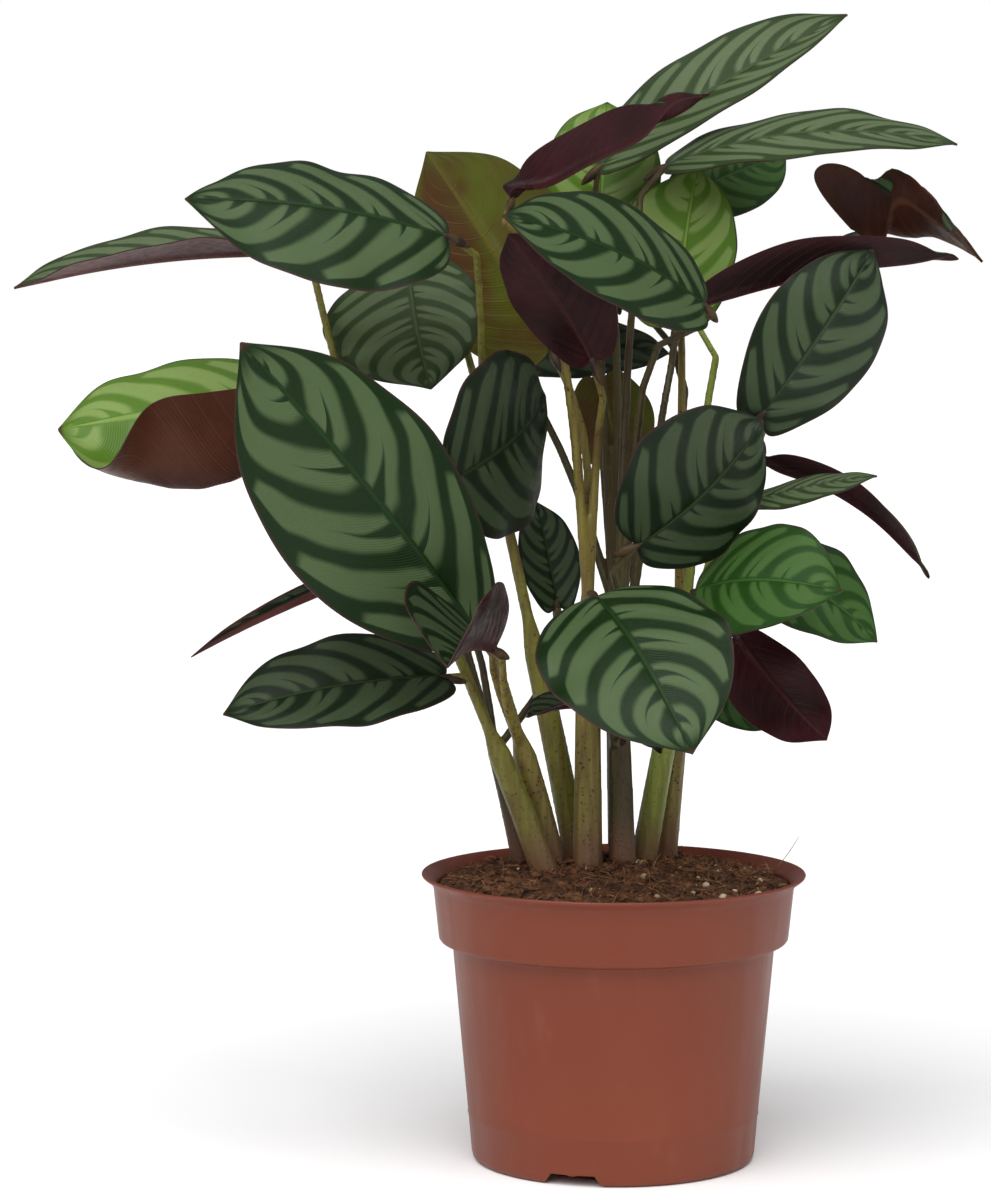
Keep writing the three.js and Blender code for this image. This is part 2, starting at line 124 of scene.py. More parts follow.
def grid_sheet(name: str, along: int, across: int) -> tuple[bpy.types.Object, np.ndarray]:
    """Add a flat sheet of squares to be shaped.

    Args:
        name: The piece's name.
        along: Squares in the first direction.
        across: Squares in the second direction.

    Returns:
        The sheet, and each vertex's shares (0 to 1) in the two directions.
    """
    deselect_all()
    bpy.ops.mesh.primitive_grid_add(x_subdivisions=along, y_subdivisions=across, size=1.0)
    sheet = bpy.context.object
    sheet.name = name
    sheet.data.name = name
    return sheet, points_of(sheet.data)[:, :2] + 0.5


def many(name: str, source: bpy.types.Object, places: list[Matrix]) -> bpy.types.Object:
    """Make one piece of many copies of a small shape, and remove the shape.

    Args:
        name: The new piece's name.
        source: The shape that is copied.
        places: One transform for each copy.

    Returns:
        The new piece.
    """
    points = points_of(source.data)
    faces = [list(face.vertices) for face in source.data.polygons]
    all_points, all_faces = [], []
    for number, place in enumerate(places):
        turn = np.array(place)
        all_points.append(points @ turn[:3, :3].T + turn[:3, 3])
        all_faces += [[index + number * len(points) for index in face] for face in faces]
    mesh = bpy.data.meshes.new(name)
    mesh.from_pydata(np.concatenate(all_points).tolist(), [], all_faces)
    piece = bpy.data.objects.new(name, mesh)
    bpy.context.scene.collection.objects.link(piece)
    bpy.data.objects.remove(source)
    return piece


def shade(piece: bpy.types.Object, degrees: float = 60.0) -> None:
    """Shade a piece smooth, apart from edges sharper than an angle."""
    activate(piece)
    bpy.ops.object.shade_smooth_by_angle(angle=math.radians(degrees))


def spline(knots: np.ndarray, values: np.ndarray, at: np.ndarray) -> np.ndarray:
    """Follow a natural cubic curve through values.

    Args:
        knots: Where the values lie, rising.
        values: One row for each knot.
        at: Where the curve is wanted.

    Returns:
        One row for each wanted place.
    """
    count = len(knots)
    flat = values.reshape(count, -1)
    gaps = np.diff(knots)
    matrix = np.eye(count)
    right = np.zeros_like(flat)
    for i in range(1, count - 1):
        matrix[i, i - 1 : i + 2] = gaps[i - 1], 2 * (gaps[i - 1] + gaps[i]), gaps[i]
        slopes = (flat[i + 1] - flat[i]) / gaps[i] - (flat[i] - flat[i - 1]) / gaps[i - 1]
        right[i] = 6 * slopes
    bends = np.linalg.solve(matrix, right)
    span = np.clip(np.searchsorted(knots, at) - 1, 0, count - 2)
    gap = gaps[span][:, None]
    low = (knots[span + 1] - at)[:, None]
    high = (at - knots[span])[:, None]
    curve = (bends[span] * low**3 + bends[span + 1] * high**3) / (6 * gap)
    curve += (flat[span] / gap - bends[span] * gap / 6) * low
    curve += (flat[span + 1] / gap - bends[span + 1] * gap / 6) * high
    return curve.reshape((len(at),) + values.shape[1:])


# ---- Finishes ----


class NodeBoard:
    """One material's shader nodes, with short ways to add and join them."""

    def __init__(self, name: str) -> None:
        """Start a material.

        Args:
            name: The material's name.
        """
        self.material = bpy.data.materials.new(name)
        self.material.use_nodes = True
        self.tree = self.material.node_tree
        self.shader = self.tree.nodes["Principled BSDF"]

    def feed(self, socket: bpy.types.NodeSocket, value: object) -> None:
        """Link a socket to another socket, or set it to a number or colour."""
        if isinstance(value, bpy.types.NodeSocket):
            self.tree.links.new(value, socket)
        elif isinstance(value, tuple) and len(value) == 3 and socket.type == "RGBA":
            socket.default_value = (*value, 1.0)
        else:
            socket.default_value = value

    def add(self, kind: str, **settings: object) -> bpy.types.Node:
        """Add a node and set its properties."""
        node = self.tree.nodes.new(kind)
        for name, value in settings.items():
            setattr(node, name, value)
        return node

    def math(self, operation: str, *inputs: object) -> bpy.types.NodeSocket:
        """Work out one step of arithmetic."""
        node = self.add("ShaderNodeMath", operation=operation)
        for socket, value in zip(node.inputs, inputs):
            self.feed(socket, value)
        return node.outputs[0]

    def step(self, value: object, low: object, high: object, first: float = 0.0, last: float = 1.0) -> object:
        """Go smoothly from first to last as a value goes from low to high."""
        node = self.add("ShaderNodeMapRange", interpolation_type="SMOOTHSTEP")
        for name, given in (("Value", value), ("From Min", low), ("From Max", high)):
            self.feed(node.inputs[name], given)
        node.inputs["To Min"].default_value = first
        node.inputs["To Max"].default_value = last
        return node.outputs[0]

    def blend(self, share: object, first: object, second: object, mode: str = "MIX") -> object:
        """Blend two colours."""
        node = self.add("ShaderNodeMix", data_type="RGBA", blend_type=mode)
        self.feed(node.inputs[0], share)
        self.feed(node.inputs[6], first)
        self.feed(node.inputs[7], second)
        return node.outputs[2]

    def place(self, stretch: Colour = (1.0, 1.0, 1.0)) -> bpy.types.NodeSocket:
        """Give the place on the object, stretched."""
        coordinates = self.add("ShaderNodeTexCoord")
        mapping = self.add("ShaderNodeMapping")
        mapping.inputs["Scale"].default_value = stretch
        self.tree.links.new(coordinates.outputs["Object"], mapping.inputs["Vector"])
        return mapping.outputs[0]

    def noise(self, where: object, scale: float, detail: float = 3.0) -> bpy.types.NodeSocket:
        """Give a cloudy number around a half."""
        node = self.add("ShaderNodeTexNoise")
        self.feed(node.inputs["Vector"], where)
        node.inputs["Scale"].default_value = scale
        node.inputs["Detail"].default_value = detail
        return node.outputs["Fac"]

    def cells(self, where: object, scale: float) -> bpy.types.NodeSocket:
        """Give the distance to the nearest of many scattered points."""
        node = self.add("ShaderNodeTexVoronoi")
        self.feed(node.inputs["Vector"], where)
        node.inputs["Scale"].default_value = scale
        return node.outputs["Distance"]

    def attribute(self, name: str) -> bpy.types.NodeSocket:
        """Give a number stored on the piece's points."""
        return self.add("ShaderNodeAttribute", attribute_name=name).outputs["Fac"]

    def relief(self, height: object, strength: float, depth: float) -> None:
        """Give the surface relief from a height.

        Args:
            height: The height's socket.
            strength: How much of it shows.
            depth: The height's size in metres.
        """
        node = self.add("ShaderNodeBump")
        node.inputs["Strength"].default_value = strength
        node.inputs["Distance"].default_value = depth
        self.feed(node.inputs["Height"], height)
        self.tree.links.new(node.outputs["Normal"], self.shader.inputs["Normal"])

    def colour(self, value: object) -> None:
        """Set the shader's base colour."""
        self.feed(self.shader.inputs["Base Color"], value)

    def rough(self, value: object) -> None:
        """Set the shader's roughness."""
        self.feed(self.shader.inputs["Roughness"], value)

    def set(self, **values: float) -> None:
        """Set plain numbers on the shader, with _ for a space in a socket's name."""
        for name, value in values.items():
            self.shader.inputs[name.replace("_", " ")].default_value = value


@dataclass(frozen=True)
class UpperSide:
    """The striped upper side of a leaf: dark bands along its side veins over a paler ground."""

    name: str
    dark: Colour
    pale: Colour
    midrib: Colour
    edge: Colour = (0.035, 0.014, 0.012)
    bands: float = 4.7
    sweep: float = 0.10
    hook: float = 0.26
    dark_share: float = 0.36
    vein_lines: float = 115.0
    gloss: float = 0.40

    def material(self) -> bpy.types.Material:
        """Weave the finish.

        Returns:
            The material.
        """
        board = NodeBoard(self.name)
        mapped = board.add("ShaderNodeUVMap", uv_map=BLADE_MAP).outputs[0]
        parts = board.add("ShaderNodeSeparateXYZ")
        board.feed(parts.inputs[0], mapped)
        along, across = parts.outputs[0], parts.outputs[1]
        side = board.math("MULTIPLY_ADD", across, 2.0, -1.0)
        out = board.math("ABSOLUTE", side)
        squared = board.math("MULTIPLY", out, out)
        seed = board.attribute(SEED_ATTRIBUTE)
        where = board.place()
        cloud = board.noise(where, 45.0, 1.0)

        swept = board.math("MULTIPLY_ADD", out, -self.sweep, along)
        swept = board.math("MULTIPLY_ADD", squared, -self.hook, swept)
        hand = board.math("GREATER_THAN", side, 0.0)
        phase = board.math("MULTIPLY", swept, self.bands)
        phase = board.math("MULTIPLY_ADD", hand, 0.45, phase)
        phase = board.math("MULTIPLY_ADD", seed, 5.0, phase)
        phase = board.math("MULTIPLY_ADD", cloud, 0.35, phase)
        wave = board.math("PINGPONG", phase, 0.5)
        wave = board.math("MULTIPLY", wave, 2.0)

        reach = board.step(out, 0.0, 0.22, 0.16, 0.0)
        rim = board.step(out, 0.82, 1.0, 0.0, 0.95)
        limit = board.math("ADD", board.math("ADD", reach, rim), self.dark_share)
        low = board.math("SUBTRACT", limit, 0.16)
        high = board.math("ADD", limit, 0.16)
        dark = board.step(wave, low, high, 1.0, 0.0)

        number = board.math("FLOOR", board.math("ADD", phase, 0.5))
        dice = board.add("ShaderNodeTexWhiteNoise", noise_dimensions="1D")
        board.feed(dice.inputs["W"], number)
        length = board.math("MULTIPLY_ADD", dice.outputs["Value"], 0.75, -0.10)
        taper = board.math("SUBTRACT", 1.0, board.math("DIVIDE", out, board.math("MAXIMUM", length, 0.01)))
        spike = board.math("SUBTRACT", board.math("MULTIPLY", taper, 0.34), board.math("SUBTRACT", 1.0, wave))
        dark = board.math("MAXIMUM", dark, board.step(spike, -0.02, 0.14))
        dark = board.math("MAXIMUM", dark, board.step(out, 0.02, 0.07, 1.0, 0.0))
        dark = board.math("MAXIMUM", dark, board.step(along, 0.90, 0.99))
        dark = board.math("MAXIMUM", dark, board.step(along, 0.0, 0.05, 1.0, 0.0))

        lines = board.math("SINE", board.math("MULTIPLY", swept, self.vein_lines * 2.0 * math.pi))
        broad = board.noise(where, 28.0, 3.0)
        tone = board.blend(dark, self.pale, self.dark)
        shade_share = board.math("MULTIPLY_ADD", lines, 0.05, board.math("MULTIPLY", broad, 0.5))
        tone = board.blend(shade_share, tone, board.blend(1.0, tone, (0.55, 0.6, 0.5), "MULTIPLY"))
        rib = board.step(out, 0.008, 0.028, 1.0, 0.0)
        tone = board.blend(rib, tone, self.midrib)
        rim_line = board.step(out, 0.965, 0.995)
        tone = board.blend(rim_line, tone, self.edge)
        dry = board.step(along, 0.975, 0.999)
        tone = board.blend(dry, tone, (0.05, 0.022, 0.012))
        board.colour(tone)

        fine = board.noise(where, 420.0, 2.0)
        board.rough(board.step(fine, 0.3, 0.7, self.gloss - 0.06, self.gloss + 0.07))
        pleat = board.math("SINE", board.math("MULTIPLY", phase, 2.0 * math.pi))
        height = board.math("MULTIPLY_ADD", lines, 0.22, board.math("MULTIPLY", pleat, 0.8))
        height = board.math("SUBTRACT", height, board.step(out, 0.0, 0.05, 1.6, 0.0))
        height = board.math("MULTIPLY_ADD", fine, 0.35, height)
        board.relief(height, 0.5, 0.00028)
        board.set(Specular_IOR_Level=0.20)
        return board.material


@dataclass(frozen=True)
class UnderSide:
    """The underside of a leaf: wine red, or olive yellow where light shining through it from behind is painted,
    with its veins raised and paler.
    """

    name: str
    deep: Colour
    light: Colour
    vein: Colour
    bands: float = 13.0
    gloss: float = 0.42

    def material(self) -> bpy.types.Material:
        """Weave the finish.

        Returns:
            The material.
        """
        board = NodeBoard(self.name)
        mapped = board.add("ShaderNodeUVMap", uv_map=BLADE_MAP).outputs[0]
        parts = board.add("ShaderNodeSeparateXYZ")
        board.feed(parts.inputs[0], mapped)
        along, across = parts.outputs[0], parts.outputs[1]
        out = board.math("ABSOLUTE", board.math("MULTIPLY_ADD", across, 2.0, -1.0))
        swept = board.math("MULTIPLY_ADD", out, -0.10, along)
        swept = board.math("MULTIPLY_ADD", board.math("MULTIPLY", out, out), -0.24, swept)
        where = board.place()
        cloud = board.noise(where, 34.0, 3.0)
        seed = board.attribute(SEED_ATTRIBUTE)
        phase = board.math("MULTIPLY_ADD", seed, 5.0, board.math("MULTIPLY", swept, self.bands))
        ribs = board.math("PINGPONG", phase, 0.5)
        ribs = board.step(ribs, 0.0, 0.06, 1.0, 0.0)
        share = board.step(cloud, 0.34, 0.66)
        share = board.math("MAXIMUM", share, board.step(out, 0.55, 1.0, 0.0, 0.7))
        tone = board.blend(share, self.deep, self.light)
        lines = board.math("SINE", board.math("MULTIPLY", swept, 430.0))
        tone = board.blend(board.math("MULTIPLY_ADD", lines, 0.03, 0.06), tone, self.vein)
        tone = board.blend(board.math("MULTIPLY", ribs, 0.28), tone, self.vein)
        rib = board.step(out, 0.012, 0.05, 0.8, 0.0)
        tone = board.blend(rib, tone, self.vein)
        board.colour(tone)
        fine = board.noise(where, 380.0, 2.0)
        board.rough(board.step(fine, 0.3, 0.7, self.gloss - 0.05, self.gloss + 0.08))
        height = board.math("MULTIPLY_ADD", ribs, 0.6, board.math("MULTIPLY", lines, 0.10))
        board.relief(board.math("MULTIPLY_ADD", fine, 0.3, height), 0.5, 0.00030)
        board.set(Specular_IOR_Level=0.16)
        return board.material


@dataclass(frozen=True)
class StalkSkin:
    """Fleshy stalk skin: streaked lengthwise, speckled brown, and pinkish brown where it leaves the soil."""

    name: str
    green: Colour
    brown: Colour
    speckle: float
    foot: Colour = (0.16, 0.075, 0.045)
    foot_top: float = 0.112

    def material(self) -> bpy.types.Material:
        """Weave the finish.

        Returns:
            The material.
        """
        board = NodeBoard(self.name)
        where = board.place()
        streaks = board.noise(board.place((1.0, 1.0, 0.035)), 620.0, 4.0)
        cloud = board.noise(where, 38.0, 3.0)
        tone = board.blend(board.step(streaks, 0.40, 0.66), self.green, board_mid(self.green, self.brown))
        tone = board.blend(board.step(cloud, 0.50, 0.70, 0.0, 0.75), tone, self.brown)
        dots = board.step(board.cells(where, 620.0), 0.16, 0.34, 1.0, 0.0)
        patch = board.step(board.noise(where, 90.0, 2.0), 0.42, 0.60, 0.0, self.speckle)
        tone = board.blend(board.math("MULTIPLY", dots, patch), tone, (0.05, 0.016, 0.007))
        height_up = board.add("ShaderNodeSeparateXYZ")
        board.feed(height_up.inputs[0], where)
        low = board.step(height_up.outputs[2], 0.092, self.foot_top, 0.85, 0.0)
        tone = board.blend(low, tone, self.foot)
        board.colour(tone)
        board.rough(board.step(streaks, 0.3, 0.7, 0.42, 0.58))
        board.relief(board.math("MULTIPLY_ADD", dots, 0.5, streaks), 0.6, 0.0004)
        board.set(Specular_IOR_Level=0.35)
        return board.material


def board_mid(first: Colour, second: Colour) -> Colour:
    """Give the colour half way between two."""
    return tuple((a + b) / 2 for a, b in zip(first, second))


@dataclass(frozen=True)
class MouldedPlastic:
    """Terracotta-coloured moulded plastic, satin, with a little handling dirt."""

    name: str = "terracotta_plastic"
    base: Colour = (0.152, 0.025, 0.0062)
    faded: Colour = (0.168, 0.031, 0.0090)
    dirt: Colour = (0.035, 0.016, 0.010)

    def material(self) -> bpy.types.Material:
        """Weave the finish.

        Returns:
            The material.
        """
        board = NodeBoard(self.name)
        where = board.place()
        cloud = board.noise(where, 16.0, 4.0)
        tone = board.blend(board.step(cloud, 0.35, 0.70), self.base, self.faded)
        specks = board.step(board.cells(where, 75.0), 0.030, 0.055, 1.0, 0.0)
        rare = board.step(board.noise(where, 21.0, 2.0), 0.56, 0.62)
        tone = board.blend(board.math("MULTIPLY", specks, rare), tone, self.dirt)
        dust = board.step(board.noise(board.place((1.0, 1.0, 0.4)), 130.0, 5.0), 0.60, 0.80, 0.0, 0.35)
        tone = board.blend(dust, tone, (0.190, 0.047, 0.020))
        board.colour(tone)
        grain = board.noise(where, 1500.0, 2.0)
        streak = board.noise(board.place((1.0, 1.0, 0.15)), 120.0, 3.0)
        board.rough(board.step(streak, 0.3, 0.7, 0.40, 0.50))
        board.relief(board.math("MULTIPLY_ADD", streak, 0.6, grain), 0.12, 0.0003)
        board.set(Specular_IOR_Level=0.38)
        return board.material


@dataclass(frozen=True)
class Earth:
    """Moist peat and coir, from nearly black to rust brown."""

    name: str = "moist_peat"
    dark: Colour = (0.022, 0.009, 0.0045)
    light: Colour = (0.120, 0.048, 0.021)

    def material(self) -> bpy.types.Material:
        """Weave the finish.

        Returns:
            The material.
        """
        board = NodeBoard(self.name)
        where = board.place()
        coarse = board.noise(where, 210.0, 5.0)
        fine = board.noise(where, 900.0, 4.0)
        mixed = board.math("MULTIPLY_ADD", fine, 0.45, board.math("MULTIPLY", coarse, 0.55))
        board.colour(board.blend(board.step(mixed, 0.36, 0.64), self.dark, self.light))
        board.rough(board.step(fine, 0.3, 0.7, 0.78, 0.98))
        board.relief(mixed, 0.9, 0.0012)
        board.set(Specular_IOR_Level=0.25)
        return board.material


@dataclass(frozen=True)
class Crumb:
    """Loose bits in the soil: grains, fibres or dry sheath tips, mottled between two colours."""

    name: str
    first: Colour
    second: Colour
    scale: float = 300.0
    roughness: float = 0.85

    def material(self) -> bpy.types.Material:
        """Weave the finish.

        Returns:
            The material.
        """
        board = NodeBoard(self.name)
        cloud = board.noise(board.place(), self.scale, 3.0)
        board.colour(board.blend(board.step(cloud, 0.35, 0.65), self.first, self.second))
        board.relief(cloud, 0.5, 0.0005)
        board.set(Roughness=self.roughness, Specular_IOR_Level=0.3)
        return board.material


class LeafTone(Enum):
    """How old a leaf is, and how much painted shade it carries, which sets the colours of its upper side."""

    MATURE = UpperSide("leaf_mature", (0.0035, 0.0185, 0.0010), (0.064, 0.102, 0.040), (0.006, 0.030, 0.002))
    BRIGHT = UpperSide(
        "leaf_bright", (0.012, 0.050, 0.004), (0.046, 0.110, 0.022), (0.030, 0.085, 0.010), bands=4.6
    )
    YOUNG = UpperSide(
        "leaf_young", (0.078, 0.165, 0.012), (0.185, 0.275, 0.070), (0.165, 0.270, 0.045), bands=4.2
    )
    GREY = UpperSide("leaf_grey", (0.022, 0.044, 0.010), (0.092, 0.128, 0.058), (0.045, 0.070, 0.022), bands=6.0)
    # A darker copy of the mature colours: painted shade for leaves that sit deep in the plant, at the back or low
    # down.
    SHADED = UpperSide("leaf_painted_shade", (0.0030, 0.0120, 0.0016), (0.040, 0.063, 0.027), (0.018, 0.034, 0.007))


class UnderTone(Enum):
    """The colour of a leaf's underside, with OLIVE painting the light that shines through a backlit leaf."""

    WINE = UnderSide("under_wine", (0.0085, 0.0015, 0.0018), (0.034, 0.0055, 0.0075), (0.050, 0.011, 0.012))
    ROSY = UnderSide("under_rosy", (0.046, 0.010, 0.010), (0.105, 0.028, 0.025), (0.135, 0.048, 0.038))
    RUST = UnderSide("under_rust", (0.024, 0.0055, 0.0035), (0.064, 0.020, 0.010), (0.085, 0.032, 0.016))
    # The olive yellow is painted backlight: light shining through the thin blade from behind.
    OLIVE = UnderSide("under_painted_backlight", (0.062, 0.024, 0.006), (0.072, 0.086, 0.007), (0.105, 0.088, 0.013))


@dataclass(frozen=True)
class LeafLook:
    """How one leaf is finished and how wavy it is."""

    tone: LeafTone = LeafTone.MATURE
    under: UnderTone = UnderTone.WINE
    seed: float = 0.0
    wave: float = 0.7


# Leaves given the darkest upper tone carry painted shade, and leaves given the olive underside carry painted
# backlight.
LEAF_LOOKS: dict[str, LeafLook] = {
    "leaf_far_left": LeafLook(LeafTone.GREY, UnderTone.ROSY, 0.10, 0.9),
    "leaf_upper_left": LeafLook(LeafTone.MATURE, UnderTone.WINE, 0.62, 0.9),
    "leaf_olive_back": LeafLook(LeafTone.BRIGHT, UnderTone.OLIVE, 0.31, 0.8),
    "leaf_pale_crown": LeafLook(LeafTone.YOUNG, UnderTone.OLIVE, 0.05, 0.4),
    "leaf_top_right": LeafLook(LeafTone.GREY, UnderTone.WINE, 0.45, 0.7),
    "leaf_top_wine": LeafLook(LeafTone.SHADED, UnderTone.WINE, 0.80, 0.6),
    "leaf_right_grey": LeafLook(LeafTone.GREY, UnderTone.ROSY, 0.22, 1.2),
    "leaf_behind_grey": LeafLook(LeafTone.BRIGHT, UnderTone.WINE, 0.71, 0.5),
    "leaf_pale_middle": LeafLook(LeafTone.YOUNG, UnderTone.OLIVE, 0.15, 0.5),
    "leaf_centre": LeafLook(LeafTone.MATURE, UnderTone.WINE, 0.33, 0.6),
    "leaf_hanging_wine": LeafLook(LeafTone.MATURE, UnderTone.WINE, 0.52, 0.6),
    "leaf_right_wine": LeafLook(LeafTone.GREY, UnderTone.WINE, 0.12, 0.7),
    "leaf_right_curled": LeafLook(LeafTone.MATURE, UnderTone.RUST, 0.90, 0.7),
    "leaf_right_big": LeafLook(LeafTone.SHADED, UnderTone.WINE, 0.25, 0.8),
    "leaf_mid_right": LeafLook(LeafTone.SHADED, UnderTone.WINE, 0.55, 0.7),
    "leaf_mid_left": LeafLook(LeafTone.SHADED, UnderTone.WINE, 0.65, 0.7),
    "leaf_big_front": LeafLook(LeafTone.MATURE, UnderTone.WINE, 0.02, 0.6),
    "leaf_left_pale": LeafLook(LeafTone.YOUNG, UnderTone.RUST, 0.42, 0.5),
    "leaf_narrow_left": LeafLook(LeafTone.SHADED, UnderTone.ROSY, 0.37, 0.6),
    "leaf_small_front": LeafLook(LeafTone.SHADED, UnderTone.WINE, 0.77, 0.5),
    "leaf_low_left": LeafLook(LeafTone.SHADED, UnderTone.WINE, 0.48, 0.8),
    "leaf_centre_front": LeafLook(LeafTone.MATURE, UnderTone.WINE, 0.58, 0.7),
    "leaf_right_bright": LeafLook(LeafTone.BRIGHT, UnderTone.WINE, 0.18, 0.7),
    "leaf_right_shaded": LeafLook(LeafTone.BRIGHT, UnderTone.WINE, 0.88, 0.8),
    "leaf_right_narrow": LeafLook(LeafTone.GREY, UnderTone.ROSY, 0.29, 0.6),
    "leaf_right_drooping": LeafLook(LeafTone.GREY, UnderTone.WINE, 0.39, 0.5),
    "leaf_low_wine": LeafLook(LeafTone.SHADED, UnderTone.WINE, 0.68, 0.6),
    "leaf_low_green": LeafLook(LeafTone.BRIGHT, UnderTone.WINE, 0.08, 0.4),
    "leaf_small_dark": LeafLook(LeafTone.SHADED, UnderTone.WINE, 0.19, 0.3),
    "leaf_small_low": LeafLook(LeafTone.SHADED, UnderTone.WINE, 0.28, 0.3),
    "leaf_hanging_grey": LeafLook(LeafTone.GREY, UnderTone.WINE, 0.51, 1.1),
    "leaf_dark_back": LeafLook(LeafTone.SHADED, UnderTone.WINE, 0.61, 0.5),
    "leaf_olive_hanging": LeafLook(LeafTone.BRIGHT, UnderTone.OLIVE, 0.73, 0.5),
    "leaf_inner_dark": LeafLook(LeafTone.SHADED, UnderTone.WINE, 0.83, 0.4),
    "leaf_back_left": LeafLook(LeafTone.MATURE, UnderTone.WINE, 0.92, 0.8),
    "leaf_back_right": LeafLook(LeafTone.MATURE, UnderTone.WINE, 0.16, 0.8),
    "leaf_back_high": LeafLook(LeafTone.MATURE, UnderTone.WINE, 0.26, 0.8),
    "leaf_back_low": LeafLook(LeafTone.MATURE, UnderTone.WINE, 0.36, 0.8),
}


class MaterialShelf:
    """Keeps each finish's material, so that it is woven once."""

    def __init__(self) -> None:
        """Start with nothing woven."""
        self.made: dict[str, bpy.types.Material] = {}

    def take(self, finish: object) -> bpy.types.Material:
        """Give a finish's material, weaving it the first time."""
        if finish.name not in self.made:
            self.made[finish.name] = finish.material()
        return self.made[finish.name]


SHELF = MaterialShelf()


# ---- Leaves ----


@dataclass
class BladeFrame:
    """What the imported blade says: places across its upper side from base to tip, and which way that is."""

    upper: np.ndarray
    keel: np.ndarray

    STATIONS = (0.0, 0.04, 0.14, 0.3, 0.48, 0.66, 0.82, 0.94, 1.0)
    COLUMNS = 10

    @classmethod
    def read(cls, node: str, stalks: np.ndarray) -> BladeFrame:
        """Read a packed blade.

        Args:
            node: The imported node's name.
            stalks: Places on all the stalks, which tell the base from the tip.

        Returns:
            The blade's frame.
        """
        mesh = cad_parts[node].data
        places, index = np.unique(np.round(points_of(mesh), 5), axis=0, return_inverse=True)
        index = index.ravel()
        touching: list[set[int]] = [set() for _ in places]
        for face in mesh.polygons:
            corners = [int(index[v]) for v in face.vertices]
            for a in corners:
                touching[a].update(b for b in corners if b != a)
        poles = [i for i, near in enumerate(touching) if len(near) == cls.COLUMNS]
        gap = [np.linalg.norm(stalks - places[i], axis=1).min() for i in poles]
        start = poles[int(np.argmin(gap))]
        end = next(i for i in poles if i != start)
        rows, keels = [np.repeat(places[start][None], 5, 0)], [places[start]]
        seen, layer = {start}, touching[start]
        while end not in layer:
            ring = cls.in_order(layer, touching)
            row, keel = cls.split(places[ring])
            if len(rows) > 1 and np.abs(row - rows[-1]).sum() > np.abs(row[::-1] - rows[-1]).sum():
                row = row[::-1]
            rows.append(row)
            keels.append(keel)
            seen |= layer
            layer = set().union(*(touching[i] for i in layer)) - seen
        rows.append(np.repeat(places[end][None], 5, 0))
        keels.append(places[end])
        upper, keel = np.array(rows), np.array(keels)
        middle = len(upper) // 2
        normal = np.cross(upper[-1, 2] - upper[0, 2], upper[middle, 4] - upper[middle, 0])
        if normal @ (upper[middle, 2] - keel[middle]) < 0:
            upper = upper[:, ::-1]
        return cls(upper, keel)

    @staticmethod
    def in_order(layer: set[int], touching: list[set[int]]) -> list[int]:
        """Walk round one ring of a blade, from neighbour to neighbour."""
        ring = [min(layer)]
        while len(ring) < len(layer):
            ring.append(min(i for i in touching[ring[-1]] & layer if i not in ring))
        return ring

    @staticmethod
    def split(ring: np.ndarray) -> tuple[np.ndarray, np.ndarray]:
        """Find the keel in a ring, and give the five places of the upper side and the keel."""
        gaps = np.linalg.norm(ring - np.roll(ring, 1, 0), axis=1)
        keel = int(np.argmin(gaps + np.roll(gaps, -1)))
        turned = np.roll(ring, -keel, 0)
        return turned[3:8], turned[0]


